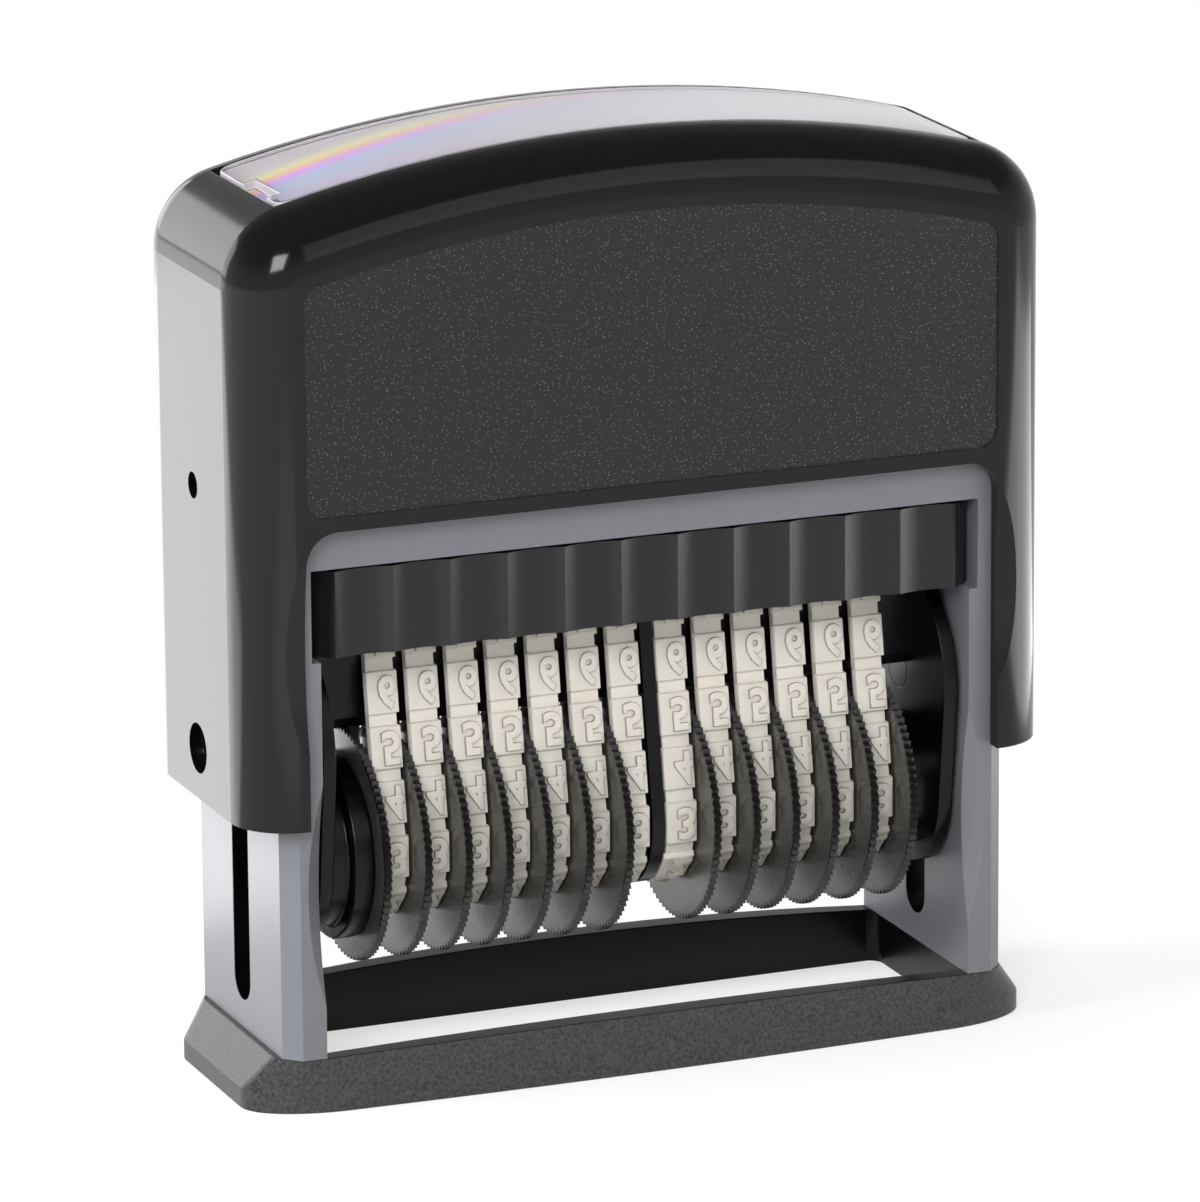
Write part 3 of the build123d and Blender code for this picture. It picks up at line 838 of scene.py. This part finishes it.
def ride(piece: Piece, body: str, nodes: list[str]) -> None:
    """Tie a new piece to its body in place of the nodes that it stands for.

    Args:
        piece: The new piece.
        body: The body that it moves with.
        nodes: The carried-over nodes that it replaces.
    """
    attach(piece, body)
    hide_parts(*nodes)
    log.info("%s rides on %s, %d faces", piece.name, body, len(piece.data.polygons))


@dataclass(frozen=True)
class BandLoop:
    """Path of a band's strip round the type bridge and a wheel's drum, in the YZ plane, in millimetres.

    It starts over the middle of the bridge, where the type prints, and runs down the front first.
    """

    corner_y: float
    corner_z: float
    corner_radius: float
    axle_y: float
    axle_z: float
    drum_radius: float

    def tangent(self, side: int) -> tuple[float, Point, Point]:
        """Find the straight run between bridge and drum on one side.

        Args:
            side: -1 for the front, 1 for the rear.

        Returns:
            The angle of its outward normal, its end at the bridge and its end at the drum.
        """
        away_y, away_z = self.axle_y - side * self.corner_y, self.axle_z - self.corner_z
        spread = math.acos((self.corner_radius - self.drum_radius) / math.hypot(away_y, away_z))
        angle = math.atan2(away_z, away_y) + side * spread
        out_y, out_z = math.cos(angle), math.sin(angle)
        corner, drum = self.corner_radius, self.drum_radius
        bridge_end = (side * self.corner_y + corner * out_y, self.corner_z + corner * out_z)
        drum_end = (self.axle_y + drum * out_y, self.axle_z + drum * out_z)
        return angle % math.tau, bridge_end, drum_end

    def spans(self) -> list[Span]:
        """Give each stretch of the loop: its length, and the point and normal at a share of it."""
        front, front_high, front_low = self.tangent(-1)
        rear, rear_high, rear_low = self.tangent(1)
        upright = math.pi / 2
        top = self.corner_z + self.corner_radius

        def line(start: Point, end: Point, normal: float) -> Span:
            """A straight stretch."""
            length = math.dist(start, end)
            return length, lambda t: (
                (start[0] + (end[0] - start[0]) * t, start[1] + (end[1] - start[1]) * t),
                normal,
            )

        def arc(centre: Point, radius: float, start: float, end: float) -> Span:
            """A round stretch, from one normal to another."""

            def at(t: float) -> tuple[Point, float]:
                """Point and normal at a share of the arc."""
                angle = start + (end - start) * t
                return (centre[0] + radius * math.cos(angle), centre[1] + radius * math.sin(angle)), angle

            return radius * abs(end - start), at

        return [
            line((0, top), (-self.corner_y, top), upright),
            arc((-self.corner_y, self.corner_z), self.corner_radius, upright, front),
            line(front_high, front_low, front),
            arc((self.axle_y, self.axle_z), self.drum_radius, front, math.tau + rear),
            line(rear_low, rear_high, rear),
            arc((self.corner_y, self.corner_z), self.corner_radius, rear, upright),
            line((self.corner_y, top), (0, top), upright),
        ]

    def length(self) -> float:
        """Length once round."""
        return sum(span for span, _ in self.spans())

    def at(self, distance: float) -> tuple[Vector, Vector]:
        """Give the point and outward normal at a distance along the loop, as (y, z)."""
        spans = self.spans()
        left = distance % sum(span for span, _ in spans)
        for span, where in spans:
            if left <= span:
                break
            left -= span
        (y, z), angle = where(left / span)
        return Vector((y, z)), Vector((math.cos(angle), math.sin(angle)))


@dataclass
class NumberBands:
    """Thirteen rubber bands: a strip with raised type blocks and a raised figure on each block."""

    width: float = 2.5
    strip: float = 0.75
    strip_inset: float = 0.17
    relief: float = 0.38
    figure_relief: float = 0.29
    groove: float = 0.85
    sink: float = 0.06
    draft: float = 0.96
    edge: float = 0.07
    bridge_corner: float = 0.8
    bridge_seat: float = 0.02
    drum_radius: float = 4.5
    figure_height: float = 2.62
    figure_width: float = 1.5
    figure_shift: float = 0.3
    # These two are in the lettering's own units, before a figure is brought to size.
    figure_body: float = 0.03
    figure_flank: float = 0.045
    figure_steps: int = 3
    flank_steps: int = 1
    strip_steps: int = 140
    block_cuts: tuple[float, ...] = (-1.1, -0.55, 0.0, 0.55, 1.1)
    figures: str = "876543210-/. 9"
    bent: tuple[int, ...] = (1, 13)
    merge: float = 0.001
    crease: float = 35

    def lay_out(self, frame: dict) -> None:
        """Work out the loop from the bridge and the wheels' axle in the frame."""
        low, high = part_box("type_bridge")
        axle = next(joint for joint in frame["joints"] if joint["name"] == "wheel_turn_01")["pos_m"]
        self.loop = BandLoop(
            corner_y=(high.y - low.y) / 2 / MM - self.bridge_corner,
            corner_z=high.z / MM + self.bridge_seat - self.bridge_corner,
            corner_radius=self.bridge_corner + self.strip,
            axle_y=axle[1] / MM,
            axle_z=axle[2] / MM,
            drum_radius=self.drum_radius + self.strip,
        )
        self.length = self.loop.length()
        self.pitch = self.length / len(self.figures)
        self.block = self.pitch - self.groove

    def flat_strip(self) -> Piece:
        """Model the strip laid out flat: X across, Y along, Z outwards."""
        width = self.width - 2 * self.strip_inset
        piece = block(
            "strip",
            Vector((width, self.length, self.strip)),
            Vector((self.width / 2, self.length / 2 - self.pitch / 2, self.strip / 2)),
        )
        with editing(piece):
            pick_edges(piece, lambda edge: abs((edge.verts[0].co - edge.verts[1].co).y) > MM)
            bpy.ops.mesh.subdivide(number_cuts=self.strip_steps - 1)
            pick_faces(piece, lambda face: abs(face.normal.y) > FACING)
            bpy.ops.mesh.delete(type="ONLY_FACE")
        Finishes.RUBBER.value.dress(piece)
        return piece

    def flat_blocks(self) -> Piece:
        """Model one type block on the flat strip and repeat it once round."""
        height = self.relief + self.sink
        top = self.strip + self.relief
        piece = block(
            "blocks",
            Vector((self.width, self.block, height)),
            Vector((self.width / 2, 0, self.strip - self.sink + height / 2)),
        )
        with editing(piece):
            pick_faces(piece, lambda face: face.normal.z > FACING)
            bpy.ops.transform.resize(value=(self.draft, self.draft, 1))
            floor = (self.strip - self.sink + self.edge) * MM
            pick_edges(piece, lambda edge: max(vert.co.z for vert in edge.verts) > floor)
            bpy.ops.mesh.bevel(offset=self.edge * MM, segments=ROUND_STEPS, affect="EDGES")
            pick_faces(piece, lambda face: face.normal.z < -FACING)
            bpy.ops.mesh.delete(type="ONLY_FACE")
            for cut in self.block_cuts:
                bpy.ops.mesh.select_all(action="SELECT")
                bpy.ops.mesh.bisect(plane_co=(0, cut * MM, top * MM), plane_no=(0, 1, 0))
        apply_modifier(
            piece,
            "ARRAY",
            count=len(self.figures),
            use_relative_offset=False,
            use_constant_offset=True,
            constant_offset_displace=(0, self.pitch * MM, 0),
        )
        Finishes.RUBBER.value.dress(piece)
        return piece

    def flat_figure(self, figure: str, place: int) -> Piece:
        """Model one raised figure on its flat block.

        Args:
            figure: The character.
            place: Number of its block, from the print face on.

        Returns:
            The figure's mesh.
        """
        bpy.ops.object.select_all(action="DESELECT")
        bpy.ops.object.text_add()
        text = bpy.context.object
        text.data.body = figure
        text.data.align_x = "CENTER"
        text.data.align_y = "CENTER"
        text.data.extrude = self.figure_body
        text.data.bevel_depth = self.figure_flank
        text.data.bevel_resolution = self.flank_steps
        text.data.resolution_u = self.figure_steps
        bpy.ops.object.convert(target="MESH")
        piece = bpy.context.object
        corners = [vertex.co for vertex in piece.data.vertices]
        low = Vector(min(co[axis] for co in corners) for axis in range(3))
        high = Vector(max(co[axis] for co in corners) for axis in range(3))
        size = high - low
        tall = figure.isdigit()
        scale = self.figure_height / size.y if tall else self.figure_width / max(size.x, size.y)
        across = min(scale, self.figure_width / size.x) if tall else scale
        depth = (self.figure_relief + self.sink) / size.z
        rise = self.strip + self.relief - self.sink
        middle = (low + high) / 2
        piece.data.transform(
            Matrix.Translation(Vector((self.width / 2 + self.figure_shift, place * self.pitch, rise)) * MM)
            @ Matrix.Diagonal((across * MM, scale * MM, depth * MM, 1))
            @ Matrix.Translation((-middle.x, -middle.y, -low.z))
        )
        Finishes.RUBBER.value.dress(piece)
        # The flanks of the figure get the darker rubber: painted shade.
        Finishes.FLANK.value.dress_faces(piece, lambda face: abs(face.normal.z) < FACING)
        return piece

    def station(self, distance: float) -> tuple[Vector, Vector]:
        """Give the point and normal of the band's strip, with each block kept flat but for the bent ones."""
        place = round(distance / self.pitch)
        offset = distance - place * self.pitch
        half = self.block / 2
        if place % len(self.figures) in self.bent and abs(offset) <= half:
            return self.loop.at(distance)
        if abs(offset) <= half:
            return self.on_block(place, offset)
        step = 1 if offset > 0 else -1
        start, start_normal = self.block_end(place, step)
        end, end_normal = self.block_end(place + step, -step)
        share = (abs(offset) - half) / self.groove
        return start.lerp(end, share), start_normal.lerp(end_normal, share).normalized()

    def block_end(self, place: int, step: int) -> tuple[Vector, Vector]:
        """Point and normal at one end of a block."""
        if place % len(self.figures) in self.bent:
            return self.loop.at(place * self.pitch + step * self.block / 2)
        return self.on_block(place, step * self.block / 2)

    def on_block(self, place: int, offset: float) -> tuple[Vector, Vector]:
        """Point and normal on a flat block, which stands half its rise above the chord of its stretch."""
        centre = place * self.pitch
        start, _ = self.loop.at(centre - self.block / 2)
        end, _ = self.loop.at(centre + self.block / 2)
        crest, _ = self.loop.at(centre)
        chord = end - start
        normal = Vector((chord.y, -chord.x)).normalized()
        middle = (start + end) / 2
        if normal.dot(crest - Vector((self.loop.axle_y, self.loop.axle_z))) < 0:
            normal = -normal
        return middle + chord * (offset / self.block) + normal * (normal.dot(crest - middle) / 2), normal

    def roll(self, piece: Piece) -> None:
        """Roll the flat band round bridge and drum and close it."""
        known: dict[float, tuple[Vector, Vector]] = {}
        for vertex in piece.data.vertices:
            distance = round(vertex.co.y / MM, 6)
            if distance not in known:
                known[distance] = self.station(distance)
            point, normal = known[distance]
            out = point + normal * (vertex.co.z / MM - self.strip)
            vertex.co = (vertex.co.x, out.x * MM, out.y * MM)
        with editing(piece):
            bpy.ops.mesh.remove_doubles(threshold=self.merge * MM)
            bpy.ops.mesh.flip_normals()

    def build(self, frame: dict) -> None:
        """Model one band, then copy it to each place on the axle."""
        self.lay_out(frame)
        figures = [
            self.flat_figure(figure, place)
            for place, figure in enumerate(self.figures)
            if not figure.isspace()
        ]
        master = join("type_band", [self.flat_strip(), self.flat_blocks(), *figures])
        self.roll(master)
        smooth(master, self.crease)
        for number in range(1, BAND_COUNT + 1):
            stands_for = f"number_band_{number:02d}"
            piece = master.copy()
            piece.data = master.data.copy()
            piece.name = f"type_band_{number:02d}"
            piece.data.transform(Matrix.Translation((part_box(stands_for)[0].x, 0, 0)))
            bpy.context.scene.collection.objects.link(piece)
            ride(piece, "carrier", [stands_for])
        bpy.data.objects.remove(master)


@dataclass
class ReturnSprings:
    """Two coil springs between deck and hood, with closed ends."""

    diameter: float = 7.0
    wire: float = 0.6
    turns: int = 8
    steps: int = 40
    wire_sides: int = 10
    travel: float = 16.2
    crease: float = 60

    def build(self) -> None:
        """Wind each spring round its own axis."""
        for side in ("left", "right"):
            stands_for = f"return_spring_{side}"
            low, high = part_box(stands_for)
            height = (high.z - low.z) / MM
            bpy.ops.object.select_all(action="DESELECT")
            bpy.ops.mesh.primitive_circle_add(
                vertices=self.wire_sides, radius=self.wire / 2 * MM, rotation=(math.pi / 2, 0, 0)
            )
            piece = bpy.context.object
            piece.name = f"coil_spring_{side}"
            bpy.ops.object.transform_apply(rotation=True)
            piece.data.transform(
                Matrix.Translation(Vector(((self.diameter - self.wire) / 2, 0, self.wire / 2)) * MM)
            )
            apply_modifier(
                piece,
                "SCREW",
                steps=self.steps,
                render_steps=self.steps,
                iterations=self.turns,
                screw_offset=(height - self.wire) / self.turns * MM,
                use_merge_vertices=False,
            )
            middle = (low + high) / 2
            piece.data.transform(Matrix.Translation((middle.x, middle.y, low.z)))
            with editing(piece):
                bpy.ops.mesh.select_all(action="DESELECT")
                bpy.ops.mesh.select_mode(type="EDGE")
                bpy.ops.mesh.select_non_manifold()
                bpy.ops.mesh.fill()
                bpy.ops.mesh.select_all(action="SELECT")
                bpy.ops.mesh.normals_make_consistent(inside=False)
            smooth(piece, self.crease)
            Finishes.SPRING.value.dress(piece)
            ride(piece, "stand", [stands_for])
            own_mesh(piece)


@dataclass
class InkPad:
    """Felt pad, face down in its tray, with soft edges and a slightly sunken face."""

    play: float = 0.06
    edge: float = 0.7
    sag: float = 0.12
    rim: float = 1.5
    cuts: int = 4
    crease: float = 50

    def build(self) -> None:
        """Model the pad in the space that the frame gives it."""
        low, high = (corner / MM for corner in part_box("ink_pad"))
        room = Vector((self.play, self.play, self.play))
        piece = block("felt_pad", high - low - 2 * room, (high + low) / 2)
        with editing(piece):
            bpy.ops.mesh.bevel(offset=self.edge * MM, segments=ROUND_STEPS, affect="EDGES")
            bpy.ops.mesh.subdivide(number_cuts=self.cuts)
            pick_faces(piece, lambda face: face.normal.z < -FACING)
            bpy.ops.mesh.inset(thickness=self.rim * MM)
            bpy.ops.transform.translate(value=(0, 0, self.sag * MM))
        smooth(piece, self.crease)
        Finishes.FELT.value.dress(piece)
        ride(piece, "pad_tray", ["ink_pad"])


@dataclass
class IndexWindow:
    """Clear pane bent to the hood's arch, with round corners and a fingernail step at its left end."""

    seat: float = 0.03
    corner: float = 1.2
    corner_steps: int = 6
    edge: float = 0.14
    edge_angle: float = 60
    # Faces whose normals are less upright than this belong to the milled edge.
    edge_upright: float = 0.8
    step_length: float = 5.0
    step_width: float = 1.0
    step_shift: float = 1.6
    arch_radius: float = 110.0
    thickness: float = 1.2
    strips: int = 110
    crease: float = 40

    def build(self) -> None:
        """Model the pane flat, cut its step, then bend it to the arch."""
        low, high = (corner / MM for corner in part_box("index_window"))
        length, depth = high.x - low.x, high.y - low.y
        height = self.thickness - self.seat
        piece = block("window_pane", Vector((length, depth, height)), Vector((0, 0, self.seat + height / 2)))
        with editing(piece):
            pick_edges(piece, lambda edge: abs((edge.verts[0].co - edge.verts[1].co).z) > height / 2 * MM)
            bpy.ops.mesh.bevel(offset=self.corner * MM, segments=self.corner_steps, affect="EDGES")
        self.cut_step(piece, -length / 2)
        apply_modifier(
            piece,
            "BEVEL",
            width=self.edge * MM,
            segments=ROUND_STEPS,
            limit_method="ANGLE",
            angle_limit=math.radians(self.edge_angle),
        )
        with editing(piece):
            for strip in range(1, self.strips):
                place = (strip / self.strips - 0.5) * length
                bpy.ops.mesh.select_all(action="SELECT")
                bpy.ops.mesh.bisect(plane_co=(place * MM, 0, 0), plane_no=(1, 0, 0))
        for vertex in piece.data.vertices:
            radius = self.arch_radius - self.thickness + vertex.co.z / MM
            across = vertex.co.x / MM
            vertex.co.z = (ARCH_CENTRE + math.sqrt(radius**2 - across**2)) * MM
        smooth(piece, self.crease)
        Finishes.WINDOW.value.dress(piece)
        Finishes.WINDOW_EDGE.value.dress_faces(piece, lambda face: abs(face.normal.z) < self.edge_upright)
        ride(piece, "hood", ["index_window"])

    def cut_step(self, piece: Piece, end: float) -> None:
        """Cut the fingernail step out of the top of one end of the flat pane."""
        cutter = block(
            "step_cutter",
            Vector((2 * self.step_width, self.step_length, self.thickness)),
            Vector((end, -self.step_shift, self.thickness)),
        )
        apply_modifier(piece, "BOOLEAN", operation="DIFFERENCE", object=cutter, solver="EXACT")
        bpy.data.objects.remove(cutter)


@dataclass(frozen=True)
class SoftEdged:
    """A moulding with its edges broken, as on the real one: a copy of its node with small rounds."""

    stands_for: str
    name: str
    body: str
    slot: str
    finish: Finishes
    edge: float
    steps: int = 2
    # A dark finish painted on faces as shade, and the test that picks those faces.
    painted_shade: Finishes | None = None
    in_painted_shade: Callable[[bpy.types.MeshPolygon], bool] | None = None
    merge: float = 0.0005
    flat_angle: float = 0.3
    edge_angle: float = 28
    crease: float = 30

    def build(self, frame: dict) -> None:
        """Copy the node's mesh, merge it, round its edges and give the faces in painted shade their own
        finish.
        """
        piece = frame["nodes"][self.stands_for].copy()
        piece.data = piece.data.copy()
        piece.name = self.name
        piece.parent = None
        for key in list(piece.keys()):
            del piece[key]
        bpy.context.scene.collection.objects.link(piece)
        with editing(piece):
            bpy.ops.mesh.customdata_custom_splitnormals_clear()
            bpy.ops.mesh.remove_doubles(threshold=self.merge * MM)
            bpy.ops.mesh.dissolve_limited(angle_limit=math.radians(self.flat_angle))
        apply_modifier(
            piece,
            "BEVEL",
            width=self.edge * MM,
            segments=self.steps,
            limit_method="ANGLE",
            angle_limit=math.radians(self.edge_angle),
            use_clamp_overlap=True,
            miter_outer="MITER_ARC",
        )
        smooth(piece, self.crease)
        self.finish.value.dress(piece)
        if self.painted_shade:
            self.painted_shade.value.dress_faces(piece, self.in_painted_shade)
        ride(piece, self.body, [self.stands_for])


@dataclass(frozen=True)
class Softbox:
    """A soft lamp that lights the stamp and shows in its gloss, but not to the camera."""

    name: str
    place: Vector
    aim: Vector
    size: tuple[float, float]
    radiance: float
    in_gloss: bool = True

    @classmethod
    def card(cls, name: str, x: float, y: float, size: tuple[float, float], radiance: float) -> "Softbox":
        """A lit card that lies on the table and shines straight up."""
        place = Vector((x, y, CARD_LEVEL))
        return cls(name, place, place + Vector((0, 0, 1)), size, radiance)

    def build(self) -> None:
        """Hang the lamp and turn it to its aim."""
        lamp = bpy.data.lights.new(self.name, "AREA")
        lamp.shape = "RECTANGLE"
        lamp.size, lamp.size_y = (side * MM for side in self.size)
        lamp.energy = self.radiance * math.pi * lamp.size * lamp.size_y
        hung = bpy.data.objects.new(self.name, lamp)
        hung.location = self.place * MM
        hung.rotation_mode = "QUATERNION"
        hung.rotation_quaternion = (self.aim - self.place).to_track_quat("-Z", "Y")
        hung.visible_camera = False
        hung.visible_glossy = self.in_gloss
        bpy.context.scene.collection.objects.link(hung)


@dataclass
class Studio:
    """White table, soft lamps and the camera at the photograph's angle."""

    azimuth: float = 22.039
    elevation: float = 15.073
    roll: float = -0.437
    distance: float = 630.976
    target: Vector = Vector((-0.034, 0, 33.775))
    focal_pixels: float = 8452.675
    image_height: int = 1202
    sensor: float = 36.0
    table: float = 6000.0
    # Keeps the table clear of the foot's underside.
    table_drop: float = 0.02
    table_colour: str = "#b4b4b4"
    table_glow: float = 0.6
    horizon: float = 1.0
    horizon_height: float = 0.05
    zenith: float = 0.3
    zenith_height: float = 0.6
    lamp_aim: Vector = Vector((0, 0, 32))

    def build(self) -> None:
        """Set up camera, table, world and lamps."""
        bpy.context.scene.view_settings.view_transform = "Standard"
        self.camera()
        self.floor()
        self.world()
        for lamp in self.lamps():
            lamp.build()

    def camera(self) -> None:
        """Stand the camera where the photograph was taken from."""
        across, up = math.radians(self.azimuth), math.radians(self.elevation)
        back = Vector((-math.sin(across) * math.cos(up), -math.cos(across) * math.cos(up), math.sin(up)))
        lens = bpy.data.cameras.new("camera")
        lens.sensor_width = self.sensor
        lens.lens = self.focal_pixels * self.sensor / self.image_height
        stand = bpy.data.objects.new("camera", lens)
        stand.location = (self.target + back * self.distance) * MM
        stand.rotation_mode = "QUATERNION"
        level = (-back).to_track_quat("-Z", "Y")
        stand.rotation_quaternion = level @ Quaternion((0, 0, 1), math.radians(self.roll))
        bpy.context.scene.collection.objects.link(stand)
        bpy.context.scene.camera = stand

    def floor(self) -> None:
        """Lay the table, which looks white to the eye, in gloss and through clear pieces."""
        bpy.ops.object.select_all(action="DESELECT")
        bpy.ops.mesh.primitive_plane_add(size=self.table * MM)
        table = bpy.context.object
        table.data.transform(Matrix.Translation((0, 0, -self.table_drop * MM)))
        table.name = "table"
        material = bpy.data.materials.new("table_laminate_white")
        material.use_nodes = True
        tree = material.node_tree
        tree.nodes.clear()
        path = node(tree, "ShaderNodeLightPath")
        seen = path.outputs["Is Camera Ray"]
        for ray in ("Is Glossy Ray", "Is Transmission Ray"):
            seen = node(
                tree, "ShaderNodeMath", {"operation": "MAXIMUM"}, {0: seen, 1: path.outputs[ray]}
            ).outputs[0]
        glow = node(
            tree, "ShaderNodeMath", {"operation": "MULTIPLY"}, {0: seen, 1: self.table_glow}
        ).outputs[0]
        paper = node(tree, "ShaderNodeBsdfDiffuse", inputs={"Color": linear(self.table_colour)})
        light = node(tree, "ShaderNodeEmission", inputs={"Strength": glow})
        both = node(tree, "ShaderNodeAddShader", inputs={0: paper.outputs[0], 1: light.outputs[0]})
        node(tree, "ShaderNodeOutputMaterial", inputs={"Surface": both.outputs[0]})
        table.data.materials.append(material)

    def world(self) -> None:
        """Surround the table with a backdrop that is white to the eye and darkens overhead in gloss."""
        world = bpy.data.worlds.new("studio")
        world.use_nodes = True
        bpy.context.scene.world = world
        tree = world.node_tree
        tree.nodes.clear()
        direction = node(tree, "ShaderNodeTexCoord").outputs["Generated"]
        apart = node(tree, "ShaderNodeSeparateXYZ", inputs={"Vector": direction})
        strength = node(
            tree,
            "ShaderNodeMapRange",
            {"interpolation_type": "SMOOTHSTEP"},
            {
                "Value": apart.outputs["Z"],
                "From Min": self.horizon_height,
                "From Max": self.zenith_height,
                "To Min": self.horizon,
                "To Max": self.zenith,
            },
        ).outputs["Result"]
        seen = node(tree, "ShaderNodeLightPath").outputs["Is Camera Ray"]
        white = node(tree, "ShaderNodeMath", {"operation": "MAXIMUM"}, {0: strength, 1: seen}).outputs[0]
        backdrop = node(tree, "ShaderNodeBackground", inputs={"Strength": white})
        node(tree, "ShaderNodeOutputWorld", inputs={"Surface": backdrop.outputs[0]})

    def lamps(self) -> list[Softbox]:
        """List the lamps."""
        aim = self.lamp_aim
        return [
            Softbox.card("left_card", -90, 150, (140, 230), 2.4),
            Softbox.card("far_card", -170, 480, (300, 430), 1.0),
            Softbox.card("front_card", -72, -150, (90, 120), 0.6),
            Softbox("rear_softbox", Vector((-230, 560, 150)), aim, (460, 260), 2.4),
            Softbox("left_softbox", Vector((-520, 60, 360)), aim, (420, 420), 6.8, in_gloss=False),
            Softbox("key_softbox", Vector((-410, -650, 450)), aim, (300, 300), 13.8),
            Softbox.card("right_card", 185, -35, (150, 190), 4.0),
            Softbox("front_softbox", Vector((330, -700, 520)), aim, (620, 460), 0.9),
            Softbox("ceiling", Vector((0, 0, 2200)), aim, (3600, 3600), 0.4, in_gloss=False),
        ]


def plain_finishes() -> dict[str, Finishes]:
    """Give the finish of each node that is carried over as it is."""
    finishes = {
        "hood_shell": Finishes.HOOD,
        "index_card": Finishes.CARD,
        "wheel_axle": Finishes.AXLE,
        "pivot_pin_left": Finishes.CARRIER,
        "pivot_pin_right": Finishes.CARRIER,
        "type_bridge": Finishes.CARRIER,
        "centre_divider": Finishes.CARRIER,
        "end_spacer": Finishes.CARRIER,
    }
    finishes.update({f"digit_wheel_{number:02d}": Finishes.WHEEL for number in range(1, BAND_COUNT + 1)})
    return finishes


@dataclass(frozen=True)
class PinSlot:
    """The slots in the frame's legs that the pivot pins run in, both sides alike."""

    half_depth: float = 1.8
    inside: float = 25.9
    outside: float = 28.8
    bottom: float = 5.0
    top: float = 30.0

    def holds(self, face: bpy.types.MeshPolygon) -> bool:
        """Whether a face of the frame is on a slot's walls."""
        place = face.center / MM
        across = self.inside < abs(place.x) < self.outside
        return across and abs(place.y) < self.half_depth and self.bottom < place.z < self.top


@dataclass(frozen=True)
class PrintWindow:
    """The open window in the foot that the type prints through."""

    half_length: float = 26.6
    # Faces whose normals are more upright than this belong to a rail's top.
    top_upright: float = 0.8

    def holds(self, face: bpy.types.MeshPolygon) -> bool:
        """Whether a face of the foot is on the window's walls or on the rails' tops."""
        place = face.center / MM
        inwards = place.xy.dot(face.normal.xy) < 0
        return abs(place.x) < self.half_length and (inwards or face.normal.z > self.top_upright)


def moulded_pieces() -> list[SoftEdged]:
    """List the mouldings whose broken edges show."""
    foot = SoftEdged(
        "base_foot",
        "foot_moulding",
        "stand",
        "foot_plastic",
        Finishes.FOOT,
        edge=0.5,
        steps=ROUND_STEPS,
        # The window's walls and the rails' tops get the carrier's black as painted shade.
        painted_shade=Finishes.CARRIER,
        in_painted_shade=PrintWindow().holds,
    )
    legs = SoftEdged(
        "inner_frame",
        "frame_moulding",
        "stand",
        "frame_plastic",
        Finishes.FRAME,
        edge=0.16,
        # The slots' walls get the carrier's black as painted shade.
        painted_shade=Finishes.CARRIER,
        in_painted_shade=PinSlot().holds,
    )
    tray = SoftEdged("pad_tray", "tray_moulding", "pad_tray", "tray_plastic", Finishes.TRAY, edge=0.14)
    names = {
        "end_flange": "flange_collar",
        "carrier_plate_left": "side_plate_left",
        "carrier_plate_right": "side_plate_right",
    }
    plates = [
        SoftEdged(part, name, "carrier", "carrier_plastic", Finishes.CARRIER, edge=0.25, steps=ROUND_STEPS)
        for part, name in names.items()
    ]
    return [foot, legs, tray, *plates]


def main() -> None:
    """Load the frame, dress it, add the new pieces and set up the studio."""
    logging.basicConfig(level=logging.INFO, format="%(name)s: %(message)s")
    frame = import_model()
    for name, finish in plain_finishes().items():
        finish.value.dress_node(frame["nodes"][name])
        log.info("%s is %s", name, finish.value.name)
    NumberBands().build(frame)
    ReturnSprings().build()
    InkPad().build()
    IndexWindow().build()
    for piece in moulded_pieces():
        piece.build(frame)
    Studio().build()


if __name__ == "__main__":
    main()
